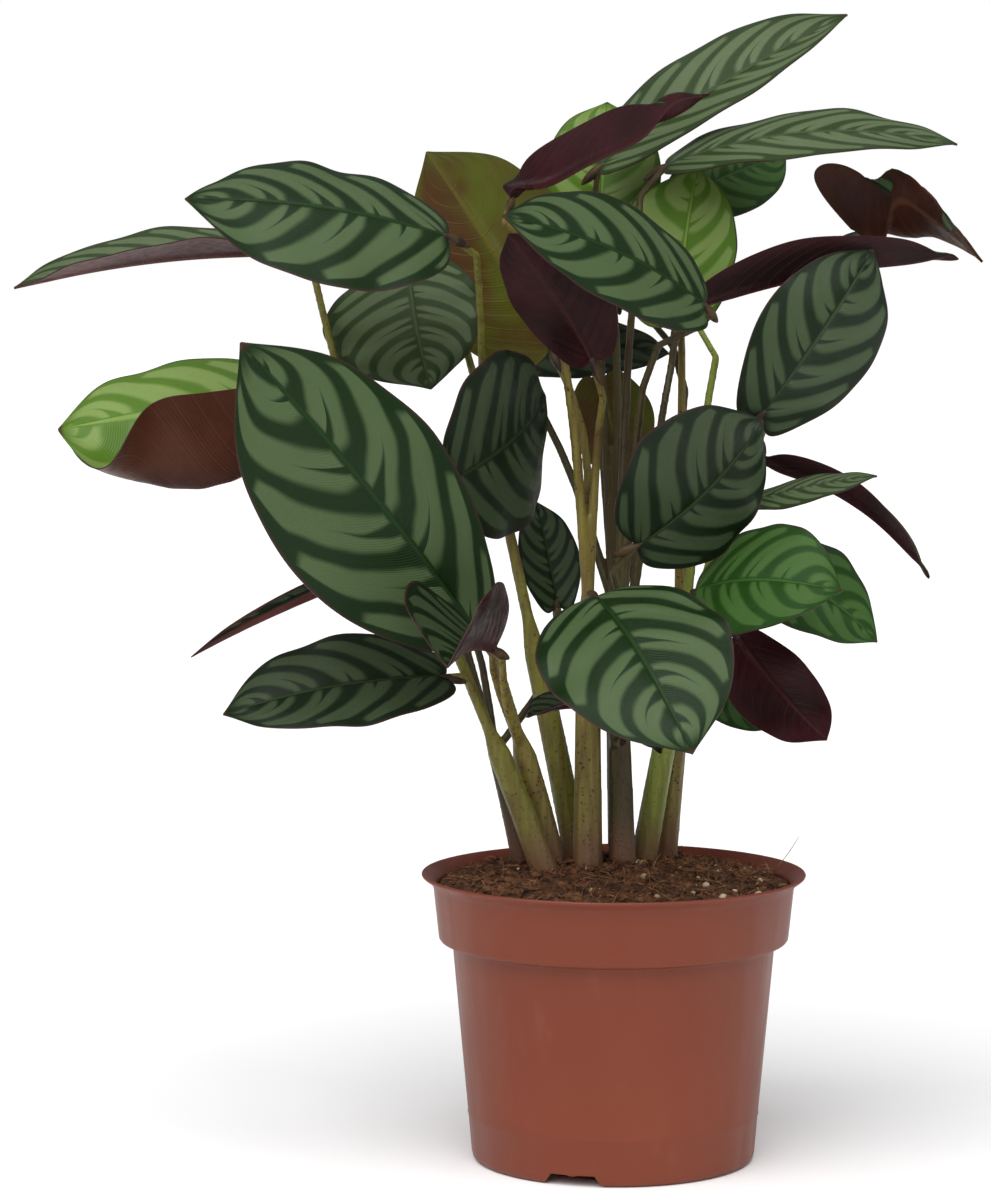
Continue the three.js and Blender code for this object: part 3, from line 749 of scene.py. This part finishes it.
@dataclass
class Leaf:
    """One leaf: a thin striped blade with wavy margins, a keel underneath, and the swollen stalk end."""

    node: str
    look: LeafLook
    along: int = 92
    across: int = 30
    stock: float = 0.38
    keel_depth: float = 0.95
    keel_width: float = 0.75
    stalk_end_radius: float = 1.55
    stalk_end_length: float = 11.0

    def build(self, stalks: np.ndarray) -> bpy.types.Object:
        """Build and dress the leaf.

        Args:
            stalks: Places on all the stalks.

        Returns:
            The finished piece.
        """
        blade_frame = BladeFrame.read(self.node, stalks)
        piece = self.blade(blade_frame)
        end = self.stalk_end(blade_frame)
        deselect_all()
        end.select_set(True)
        piece.select_set(True)
        bpy.context.view_layer.objects.active = piece
        bpy.ops.object.join()
        self.mark_seed(piece)
        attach(piece, ROOT)
        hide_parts(self.node)
        return piece

    def blade(self, blade_frame: BladeFrame) -> bpy.types.Object:
        """Shape a sheet to the blade's frame and give it its thickness."""
        piece, shares = grid_sheet(self.node + "_leaf", self.along, self.across)
        knots = np.arccos(1 - 2 * np.array(BladeFrame.STATIONS)) / math.pi
        rows = np.unique(np.round(shares[:, 0], 6))
        columns = np.unique(np.round(shares[:, 1], 6))
        at = 0.025 + rows * 0.962
        lines = spline(knots, blade_frame.upper, at)
        side = columns * 2 - 1
        surface = self.across_rows(lines, side)
        share_along = (1 - np.cos(math.pi * at)) / 2
        surface = self.wavy(surface, share_along, side)
        i = np.searchsorted(rows, np.round(shares[:, 0], 6))
        j = np.searchsorted(columns, np.round(shares[:, 1], 6))
        set_points(piece.data, surface[i, j])
        self.map_blade(piece.data, share_along[i], columns[j])
        count = len(piece.data.vertices)
        piece.data.materials.append(SHELF.take(self.look.tone.value))
        piece.data.materials.append(SHELF.take(self.look.under.value))
        apply_modifier(piece, "SOLIDIFY", thickness=self.stock * MM, offset=-1.0, material_offset=1)
        places = points_of(piece.data)
        down = places[count : 2 * count] - places[:count]
        down /= np.maximum(np.linalg.norm(down, axis=1), 1e-9)[:, None]
        half = np.linalg.norm(surface[:, -1] - surface[:, 0], axis=1)[i] / 2
        across_rib = np.abs(side[j]) * np.maximum(half, 3 * MM) / (self.keel_width * MM)
        deep = self.keel_depth * (1 - 0.7 * share_along[i]) * np.exp(-(across_rib**2))
        places[count : 2 * count] += down * (deep * MM)[:, None]
        set_points(piece.data, places)
        shade(piece, 80)
        return piece

    @staticmethod
    def across_rows(lines: np.ndarray, side: np.ndarray) -> np.ndarray:
        """Bend each row through its margin, half-way and midrib places, one curve on each side."""
        surface = np.zeros((len(lines), len(side), 3))
        for j, value in enumerate(side):
            out = abs(value)
            first, second = (3, 4) if value > 0 else (1, 0)
            surface[:, j] = (
                lines[:, 2] * (1 - out) * (1 - 2 * out)
                + lines[:, first] * 4 * out * (1 - out)
                + lines[:, second] * out * (2 * out - 1)
            )
        return surface

    def wavy(self, surface: np.ndarray, share: np.ndarray, side: np.ndarray) -> np.ndarray:
        """Lift the surface in soft pleats along its side veins and in waves along its margins."""
        normal = np.cross(np.gradient(surface, axis=0), np.gradient(surface, axis=1))
        normal /= np.maximum(np.linalg.norm(normal, axis=2), 1e-12)[:, :, None]
        out = np.abs(side)[None, :]
        along = share[:, None]
        seed = self.look.seed * 2 * math.pi
        hand = np.where(side > 0, 1.7, 0.0)[None, :]
        fade = np.clip(np.minimum(along / 0.12, (1 - along) / 0.12), 0, 1)
        waves = np.sin(2 * math.pi * 2.3 * along + seed * 3 + hand) + 0.5 * np.sin(
            2 * math.pi * 4.1 * along + seed * 5 + 2 * hand
        )
        veins = self.look.tone.value.bands * (along - 0.10 * out - 0.24 * out**2)
        pleats = np.sin(2 * math.pi * veins * 2 + seed) * (out * (1 - out) * 4)
        size = np.linalg.norm(surface[:, -1] - surface[:, 0], axis=1).max() / (50 * MM)
        lift = (self.look.wave * waves * out**2.5 + 0.13 * pleats) * fade * min(size, 1.2)
        groove = -0.28 * np.exp(-((out / 0.045) ** 2)) * fade
        return surface + normal * ((lift + groove) * MM)[:, :, None]

    @staticmethod
    def map_blade(mesh: bpy.types.Mesh, along: np.ndarray, across: np.ndarray) -> None:
        """Write the share along and across the blade as its map."""
        layer = mesh.uv_layers.active or mesh.uv_layers.new()
        layer.name = BLADE_MAP
        corners = np.zeros(len(mesh.loops), int)
        mesh.loops.foreach_get("vertex_index", corners)
        layer.data.foreach_set("uv", np.stack([along[corners], across[corners]], 1).ravel())

    def stalk_end(self, blade_frame: BladeFrame) -> bpy.types.Object:
        """Make the swollen brown end of the stalk, from just inside the blade back along the stalk."""
        base = blade_frame.upper[0, 2]
        forward = blade_frame.upper[1, 2] - base
        forward = Vector(forward / np.linalg.norm(forward))
        deselect_all()
        bpy.ops.mesh.primitive_uv_sphere_add(segments=16, ring_count=14, radius=1.0)
        piece = bpy.context.object
        places = points_of(piece.data)
        small = min(1.0, np.linalg.norm(blade_frame.upper[4, 0] - blade_frame.upper[4, 4]) / (26 * MM))
        radius = self.stalk_end_radius * MM * (0.72 + 0.28 * small)
        up = places[:, 2]
        swell = 0.92 + 0.12 * np.cos(up * 2.2)
        places[:, 0] *= radius * swell
        places[:, 1] *= radius * swell
        length = self.stalk_end_length * (0.6 + 0.4 * small)
        places[:, 2] = np.sign(up) * np.abs(up) ** 1.15 * length / 2 * MM
        turn = np.array(forward.to_track_quat("Z", "Y").to_matrix())
        centre = base - np.array(forward) * (length / 2 - 2.2) * MM
        set_points(piece.data, places @ turn.T + centre)
        layer = piece.data.uv_layers.active or piece.data.uv_layers.new()
        layer.name = BLADE_MAP
        piece.data.materials.append(SHELF.take(STALK_END))
        shade(piece, 80)
        return piece

    def mark_seed(self, piece: bpy.types.Object) -> None:
        """Store the leaf's own number on its points, which shifts its stripes."""
        layer = piece.data.attributes.new(SEED_ATTRIBUTE, "FLOAT", "POINT")
        layer.data.foreach_set("value", np.full(len(piece.data.vertices), self.look.seed, np.float32))


STALK_END = Crumb("stalk_end", (0.020, 0.008, 0.005), (0.060, 0.034, 0.010), 260.0, 0.55)


# ---- Shoots ----


class SkinTone(Enum):
    """How a shoot's sheaths and stalks are coloured, with one darkened skin that paints the shadow on stalks at
    the back.
    """

    SPECKLED = StalkSkin("stalk_speckled", (0.190, 0.155, 0.028), (0.085, 0.040, 0.012), 0.95)
    OLIVE = StalkSkin("stalk_olive", (0.155, 0.150, 0.019), (0.088, 0.052, 0.012), 0.6)
    BRIGHT = StalkSkin("stalk_bright", (0.185, 0.225, 0.030), (0.110, 0.105, 0.016), 0.25)
    # Nearly black olive: painted shadow for stalks standing in the shade behind the others.
    DARK = StalkSkin("stalk_painted_shadow", (0.050, 0.040, 0.007), (0.030, 0.012, 0.006), 0.5)


# Shoots d, f and g take the painted-shadow skin.
SHOOT_SKINS: dict[str, SkinTone] = {
    "shoot_a": SkinTone.OLIVE,
    "shoot_b": SkinTone.SPECKLED,
    "shoot_c": SkinTone.OLIVE,
    "shoot_d": SkinTone.DARK,
    "shoot_e": SkinTone.SPECKLED,
    "shoot_f": SkinTone.DARK,
    "shoot_g": SkinTone.DARK,
    "shoot_h": SkinTone.BRIGHT,
    "shoot_i": SkinTone.SPECKLED,
}


@dataclass
class Shoot:
    """One shoot with its leaf stalks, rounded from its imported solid."""

    node: str
    skin: SkinTone
    voxel: float = 0.62
    smooth_rounds: int = 4
    swell: float = 0.10

    def build(self) -> bpy.types.Object:
        """Build and dress the shoot.

        Returns:
            The finished piece.
        """
        piece = bpy.data.objects.new(self.node + "_stalks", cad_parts[self.node].data.copy())
        bpy.context.scene.collection.objects.link(piece)
        piece.data.materials.clear()
        edit_all(piece, "remove_doubles", threshold=1e-5)
        apply_modifier(piece, "REMESH", mode="VOXEL", voxel_size=self.voxel * MM)
        apply_modifier(piece, "SMOOTH", factor=0.5, iterations=self.smooth_rounds)
        apply_modifier(piece, "DISPLACE", strength=self.swell * MM, mid_level=0.0, direction="NORMAL")
        piece.data.materials.append(SHELF.take(self.skin.value))
        shade(piece, 180)
        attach(piece, ROOT)
        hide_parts(self.node)
        return piece


# ---- Soil ----


@dataclass
class Soil:
    """The fill of peat and coir, with its crumbs, fibres and pale grains."""

    node: str = "potting_soil"
    gap: float = 0.4
    around: int = 230
    rings: int = 118
    roughness: float = 1.5
    crumbs: int = 1500
    fibres: int = 620
    fibre_steps: int = 6
    grains: int = 70
    seed: int = 11
    profile: list[tuple[float, float]] = field(
        default_factory=lambda: [(0, 92.6), (20, 91.4), (36, 89.4), (48, 88.0), (54.4, 86.4)]
    )

    def surface_height(self, x: float, y: float) -> float:
        """Give the height of the soil's top at a place, in metres."""
        radius = math.hypot(x, y) / MM
        radii, heights = zip(*self.profile)
        level = float(np.interp(radius, radii, heights))
        where = Vector((x, y, 0.0))
        lumps = noise.fractal(where * 95.0, 0.9, 2.1, 4) * self.roughness
        clods = noise.noise(where * 260.0) * 0.6
        edge = min(1.0, max(0.25, (54.0 - radius) / 6.0))
        return (level + (lumps + clods) * edge) * MM

    def build(self) -> list[bpy.types.Object]:
        """Build and dress the soil.

        Returns:
            The finished pieces.
        """
        rng = np.random.default_rng(self.seed)
        pieces = [self.fill(), self.scatter_crumbs(rng), self.scatter_fibres(rng), self.scatter_grains(rng)]
        for piece in pieces:
            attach(piece, ROOT)
        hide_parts(self.node)
        return pieces

    def fill(self) -> bpy.types.Object:
        """Shape the closed body of soil: its lumpy top, its side and its underside."""
        low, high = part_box(self.node)
        sheet, shares = grid_sheet("soil_fill", self.around, self.rings)
        turn = shares[:, 0] * 2 * math.pi
        top_share = 0.9
        reach = np.clip(shares[:, 1] / top_share, 0, 1)
        under = np.clip((shares[:, 1] - top_share) / (1 - top_share), 0, 1)
        top_radius = high.x - 0.05 * MM
        floor_radius = 41.5 * MM
        wall_share = np.clip(under / 0.6, 0, 1)
        floor_share = np.clip((under - 0.6) / 0.4, 0, 1)
        radius = np.where(under > 0, top_radius + (floor_radius - top_radius) * wall_share, top_radius * reach)
        step_in = np.where((wall_share > 0.2) & (wall_share < 1), 2.2 * MM, 0.0)
        radius = (radius - step_in) * (1 - floor_share)
        places = np.zeros((len(shares), 3))
        places[:, 0] = radius * np.cos(turn)
        places[:, 1] = radius * np.sin(turn)
        for i, (x, y, _) in enumerate(places):
            if under[i] == 0:
                places[i, 2] = self.surface_height(x, y)
            else:
                top = 85.5 * MM
                places[i, 2] = top + (low.z + 3.0 * MM - top) * wall_share[i]
        set_points(sheet.data, places)
        edit_all(sheet, "remove_doubles", "normals_make_consistent", threshold=1e-6)
        sheet.data.materials.append(SHELF.take(Earth()))
        shade(sheet, 180)
        return sheet

    def spot(self, rng: np.random.Generator, margin: float = 1.0) -> Vector:
        """Choose a place on the soil's top."""
        radius = math.sqrt(rng.random()) * (54.0 - margin) * MM
        turn = rng.random() * 2 * math.pi
        x, y = radius * math.cos(turn), radius * math.sin(turn)
        return Vector((x, y, self.surface_height(x, y)))

    @staticmethod
    def tumble(rng: np.random.Generator, place: Vector, scale: Vector) -> Matrix:
        """Give a random turn at a place, with a size along each axis."""
        turn = Matrix.Rotation(rng.random() * 6.28, 4, "Z") @ Matrix.Rotation(rng.random() * 6.28, 4, "X")
        size = Matrix.Diagonal((*scale, 1.0))
        return Matrix.Translation(place) @ turn @ size

    def lump(self, rng: np.random.Generator, subdivisions: int, rough: float) -> bpy.types.Object:
        """Make one knobbly lump of unit size to copy."""
        deselect_all()
        bpy.ops.mesh.primitive_ico_sphere_add(subdivisions=subdivisions, radius=1.0)
        piece = bpy.context.object
        places = points_of(piece.data)
        places *= 1 + rough * (rng.random((len(places), 1)) - 0.5)
        set_points(piece.data, places)
        return piece

    def scatter_crumbs(self, rng: np.random.Generator) -> bpy.types.Object:
        """Strew crumbs of peat and bits of coir over the top."""
        spots = []
        for _ in range(self.crumbs):
            size = (0.35 + 1.3 * rng.random() ** 3) * MM
            scale = Vector((size * (0.7 + 1.6 * rng.random()), size, size * (0.5 + 0.5 * rng.random())))
            spots.append(self.tumble(rng, self.spot(rng) + Vector((0, 0, size * 0.35)), scale))
        piece = many("soil_crumbs", self.lump(rng, 1, 0.75), spots)
        piece.data.materials.append(SHELF.take(Earth("peat_crumbs", (0.030, 0.012, 0.006), (0.165, 0.070, 0.030))))
        return piece

    def scatter_fibres(self, rng: np.random.Generator) -> bpy.types.Object:
        """Strew thin bent coir fibres over the top, a few standing up at the rim."""
        deselect_all()
        bpy.ops.mesh.primitive_circle_add(vertices=3, radius=1.0, fill_type="NGON", location=(0, 0, -1))
        fibre = bpy.context.object
        set_points(fibre.data, points_of(fibre.data) - [0, 0, 1])
        fibre.location = (0, 0, 0)
        bpy.ops.object.mode_set(mode="EDIT")
        bpy.ops.mesh.select_all(action="SELECT")
        for _ in range(self.fibre_steps):
            rise = (0, 0, 2 / self.fibre_steps)
            bpy.ops.mesh.extrude_region_move(TRANSFORM_OT_translate={"value": rise})
        bpy.ops.object.mode_set(mode="OBJECT")
        edit_all(fibre, "normals_make_consistent")
        places = points_of(fibre.data)
        taper = 1 - 0.55 * np.abs(places[:, 2]) ** 3
        places[:, 0] *= taper
        places[:, 1] *= taper
        places[:, 0] += 3.2 * (1 - places[:, 2] ** 2)
        places[:, 1] += 1.5 * np.sin(places[:, 2] * 3.0)
        set_points(fibre.data, places)
        spots = []
        for number in range(self.fibres):
            thick = (0.09 + 0.13 * rng.random()) * MM
            length = (1.6 + 4.2 * rng.random() ** 1.6) * MM
            upright = number % 14 == 0
            lean = (0.5 if upright else 1.25) + 0.3 * rng.random()
            turn = Matrix.Rotation(rng.random() * 6.28, 4, "Z") @ Matrix.Rotation(lean, 4, "Y")
            spin = Matrix.Rotation(rng.random() * 6.28, 4, "Z")
            place = self.spot(rng) + Vector((0, 0, (1.3 if upright else 0.5) * MM))
            spots.append(Matrix.Translation(place) @ turn @ spin @ Matrix.Diagonal((thick, thick, length, 1)))
        long_hair = Matrix.Translation((0.0545, 0.004, 0.0955)) @ Matrix.Rotation(0.62, 4, "Y")
        spots.append(long_hair @ Matrix.Diagonal((0.13 * MM, 0.13 * MM, 6.5 * MM, 1)))
        piece = many("soil_fibres", fibre, spots)
        piece.data.materials.append(SHELF.take(Crumb("coir", (0.085, 0.034, 0.014), (0.260, 0.125, 0.055))))
        shade(piece, 80)
        return piece

    def scatter_grains(self, rng: np.random.Generator) -> bpy.types.Object:
        """Strew pale perlite and tan grit, mostly towards the front and right."""
        spots = []
        for number in range(self.grains):
            size = (0.35 + 1.05 * rng.random() ** 2.6) * MM
            place = self.spot(rng, 3.0)
            if number % 4 == 0:
                place = Vector((0.018 + 0.030 * rng.random(), -0.036 + 0.034 * rng.random(), 0))
                place.z = self.surface_height(place.x, place.y)
            scale = Vector((size, size * (0.7 + 0.3 * rng.random()), size * 0.8))
            spots.append(self.tumble(rng, place + Vector((0, 0, size * 0.45)), scale))
        piece = many("soil_grains", self.lump(rng, 2, 0.3), spots)
        finish = Crumb("perlite", (0.50, 0.40, 0.27), (0.24, 0.145, 0.075), 170.0, 0.8)
        piece.data.materials.append(SHELF.take(finish))
        shade(piece, 80)
        return piece


# ---- Pot ----


@dataclass
class Pot:
    """The nursery pot: a tapered bucket with a collar, a thin flared lip and drain notches."""

    node: str = "nursery_pot"
    wall: float = 1.3
    band_top: float = 56.4
    band_bottom: float = 54.7
    band_bottom_z: float = 70.5
    body_top: float = 50.5
    body_top_z: float = 68.3
    foot: float = 44.4
    channel_z: float = 3.4
    disc: float = 33.0
    line_z: float = 14.5
    notches: int = 3
    notch_top: float = 14.0
    notch_bottom: float = 20.0
    first_notch: float = -108.0
    steps: int = 192

    def outline(self, lip: float, height: float) -> list[tuple[float, float]]:
        """Give the wall's section as radius and height, from the middle of the base round and back.

        Args:
            lip: The lip's outer radius.
            height: The pot's height.

        Returns:
            The section's points in millimetres.
        """
        slope = (self.body_top - self.foot) / (self.body_top_z - 2.4)
        line = self.foot + slope * (self.line_z - 2.4)
        outer = [
            (0, 0), (self.disc - 0.6, 0), (self.disc + 0.1, 0.3), (self.disc + 1.5, self.channel_z),
            (self.foot - 3.3, self.channel_z), (self.foot - 2.9, 0.5), (self.foot - 2.5, 0.0),
            (self.foot - 1.6, 0.0), (self.foot - 0.9, 0.25), (self.foot - 0.35, 0.9), (self.foot, 2.4),
            (line - 0.10, self.line_z - 0.5), (line + 0.12, self.line_z), (line + 0.02, self.line_z + 0.6),
            (self.body_top - 0.2, self.body_top_z - 1.2), (self.body_top + 0.1, self.body_top_z - 0.3),
            (self.body_top + 0.6, self.body_top_z + 0.1), (self.band_bottom - 1.6, self.body_top_z + 0.5),
            (self.band_bottom - 0.6, self.body_top_z + 0.8), (self.band_bottom - 0.12, self.body_top_z + 1.4),
            (self.band_bottom, self.band_bottom_z), (self.band_top - 0.1, height - 4.6),
            (self.band_top + 0.25, height - 3.6), (self.band_top + 1.0, height - 2.6),
            (lip - 0.7, height - 1.3), (lip - 0.15, height - 0.8), (lip, height - 0.4), (lip - 0.2, height - 0.05),
            (lip - 0.6, height),
        ]
        inner = [
            (lip - 1.2, height - 0.15), (self.band_top - self.wall + 1.4, height - 2.0),
            (self.band_top - self.wall + 0.2, height - 3.2), (self.band_top - self.wall - 0.1, height - 4.4),
            (self.band_bottom - self.wall, self.band_bottom_z + 0.8), (self.body_top - self.wall, self.body_top_z + 1.2),
            (self.foot - self.wall, self.channel_z + self.wall), (self.disc + 0.5, self.channel_z + self.wall),
            (self.disc - 1, self.wall), (0, self.wall),
        ]
        return outer + inner

    def build(self) -> bpy.types.Object:
        """Build and dress the pot.

        Returns:
            The finished piece.
        """
        _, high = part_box(self.node)
        section = self.outline(high.x / MM, high.z / MM)
        deselect_all()
        bpy.ops.mesh.primitive_circle_add(vertices=len(section), radius=1.0, fill_type="NOTHING")
        piece = bpy.context.object
        piece.name = "pot_body"
        set_points(piece.data, np.array([(r * MM, 0.0, z * MM) for r, z in section]))
        self.open_axis(piece, len(section))
        activate(piece)
        bpy.ops.object.mode_set(mode="EDIT")
        bpy.ops.mesh.select_all(action="SELECT")
        bpy.ops.mesh.spin(steps=self.steps, angle=2 * math.pi, center=(0, 0, 0), axis=(0, 0, 1))
        bpy.ops.mesh.select_all(action="SELECT")
        bpy.ops.mesh.remove_doubles(threshold=2e-6)
        bpy.ops.mesh.normals_make_consistent(inside=False)
        bpy.ops.object.mode_set(mode="OBJECT")
        for number in range(self.notches):
            self.cut_notch(piece, self.first_notch + number * 360.0 / self.notches)
        piece.data.materials.append(SHELF.take(MouldedPlastic()))
        shade(piece, 38)
        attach(piece, ROOT)
        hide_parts(self.node)
        return piece

    @staticmethod
    def open_axis(piece: bpy.types.Object, count: int) -> None:
        """Remove the section's edge that lies on the axis, between its last and first points."""
        activate(piece)
        for edge in piece.data.edges:
            edge.select = set(edge.vertices) == {0, count - 1}
        for vertex in piece.data.vertices:
            vertex.select = False
        bpy.ops.object.mode_set(mode="EDIT")
        bpy.ops.mesh.select_mode(type="EDGE")
        bpy.ops.object.mode_set(mode="OBJECT")
        for edge in piece.data.edges:
            edge.select = set(edge.vertices) == {0, count - 1}
        bpy.ops.object.mode_set(mode="EDIT")
        bpy.ops.mesh.delete(type="EDGE_FACE")
        bpy.ops.mesh.select_mode(type="VERT")
        bpy.ops.object.mode_set(mode="OBJECT")

    def cut_notch(self, piece: bpy.types.Object, degrees: float) -> None:
        """Cut one drain notch through the foot, wider at the ground than at its top."""
        deselect_all()
        bpy.ops.mesh.primitive_cube_add(size=1.0)
        cutter = bpy.context.object
        places = points_of(cutter.data)
        high = places[:, 2] > 0
        width = np.where(high, self.notch_top, self.notch_bottom)
        shaped = np.zeros_like(places)
        shaped[:, 0] = (self.foot - 3.2 + 6.5 * places[:, 0]) * MM
        shaped[:, 1] = np.sign(places[:, 1]) * width / 2 * MM
        shaped[:, 2] = np.where(high, self.channel_z, -1.0) * MM
        turn = np.array(Matrix.Rotation(math.radians(degrees), 3, "Z"))
        set_points(cutter.data, shaped @ turn.T)
        apply_modifier(piece, "BOOLEAN", operation="DIFFERENCE", solver="EXACT", object=cutter)
        bpy.data.objects.remove(cutter)


# ---- Studio ----


@dataclass
class Studio:
    """The pale floor, the soft lights and the camera."""

    camera_place: Colour = (-0.0369, -1.25, 0.286)
    camera_down: float = 5.06
    lens: float = 121.14
    sensor: float = 36.0
    room_light: float = 0.30
    key_power: float = 3.3
    fill_power: float = 0.8

    def build(self) -> None:
        """Set up the studio."""
        self.floor()
        self.lights()
        self.camera()

    def floor(self) -> None:
        """Lay the floor."""
        deselect_all()
        bpy.ops.mesh.primitive_plane_add(size=12.0, location=(0, 3.0, -0.0002))
        floor = bpy.context.object
        floor.name = "studio_floor"
        board = NodeBoard("studio_paper")
        soft = board.noise(board.place(), 3.0, 2.0)
        board.colour(board.blend(soft, (0.94, 0.94, 0.94), (0.97, 0.97, 0.97)))
        board.set(Roughness=0.9, Specular_IOR_Level=0.1)
        floor.data.materials.append(board.material)

    def lights(self) -> None:
        """Light the room: a white backdrop that gives little light, and two broad soft lamps."""
        world = bpy.data.worlds.new("studio_room")
        world.use_nodes = True
        tree = world.node_tree
        room = tree.nodes["Background"]
        room.inputs["Color"].default_value = (1.0, 1.0, 1.0, 1.0)
        room.inputs["Strength"].default_value = self.room_light
        backdrop = tree.nodes.new("ShaderNodeBackground")
        backdrop.inputs["Color"].default_value = (1.0, 1.0, 1.0, 1.0)
        backdrop.inputs["Strength"].default_value = 1.0
        choice = tree.nodes.new("ShaderNodeMixShader")
        rays = tree.nodes.new("ShaderNodeLightPath")
        tree.links.new(rays.outputs["Is Camera Ray"], choice.inputs[0])
        tree.links.new(room.outputs[0], choice.inputs[1])
        tree.links.new(backdrop.outputs[0], choice.inputs[2])
        tree.links.new(choice.outputs[0], tree.nodes["World Output"].inputs["Surface"])
        bpy.context.scene.world = world
        self.lamp("key_light", (-0.30, -0.70, 1.0), self.key_power, 70.0)
        self.lamp("fill_light", (0.9, -0.9, 0.7), self.fill_power, 90.0)

    @staticmethod
    def lamp(name: str, source: Colour, power: float, spread: float) -> None:
        """Hang one broad lamp.

        Args:
            name: The lamp's name.
            source: The direction that its light comes from.
            power: Its strength.
            spread: How wide it looks from the plant, in degrees.
        """
        light = bpy.data.lights.new(name, "SUN")
        light.energy = power
        light.angle = math.radians(spread)
        lamp = bpy.data.objects.new(name, light)
        bpy.context.scene.collection.objects.link(lamp)
        lamp.location = source
        lamp.rotation_euler = (-Vector(source)).to_track_quat("-Z", "Y").to_euler()

    def camera(self) -> None:
        """Place the camera."""
        data = bpy.data.cameras.new("studio_camera")
        data.lens = self.lens
        data.sensor_width = self.sensor
        data.sensor_fit = "AUTO"
        data.clip_start, data.clip_end = 0.05, 50.0
        camera = bpy.data.objects.new("studio_camera", data)
        bpy.context.scene.collection.objects.link(camera)
        camera.location = self.camera_place
        camera.rotation_euler = (math.radians(90.0 - self.camera_down), 0.0, 0.0)
        bpy.context.scene.camera = camera
        bpy.context.scene.view_settings.view_transform = "Standard"


# ---- Assembly ----


@dataclass
class Plant:
    """All the pieces of the potted plant."""

    def stalk_places(self) -> np.ndarray:
        """Gather places on all the stalks."""
        return np.concatenate([points_of(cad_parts[name].data) for name in SHOOT_SKINS])

    def build(self) -> None:
        """Build every piece in order."""
        stalks = self.stalk_places()
        self.report(Pot().build())
        for piece in Soil().build():
            self.report(piece)
        for node, skin in SHOOT_SKINS.items():
            self.report(Shoot(node, skin).build())
        for node, look in LEAF_LOOKS.items():
            self.report(Leaf(node, look).build(stalks))

    @staticmethod
    def report(piece: bpy.types.Object) -> None:
        """Log one finished piece."""
        faces = sum(len(face.vertices) - 2 for face in piece.data.polygons)
        LOG.info("%s: %d triangles", piece.name, faces)


def corners(box: tuple[Vector, Vector]) -> list[list[float]]:
    """Give a box's two corners as plain lists."""
    return [list(box[0]), list(box[1])]


def main() -> None:
    """Build the studio and the plant, and log each plant piece's triangle count."""
    logging.basicConfig(level=logging.INFO, format="%(name)s %(message)s")
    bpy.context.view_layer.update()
    Studio().build()
    Plant().build()


if __name__ == "__main__":
    main()
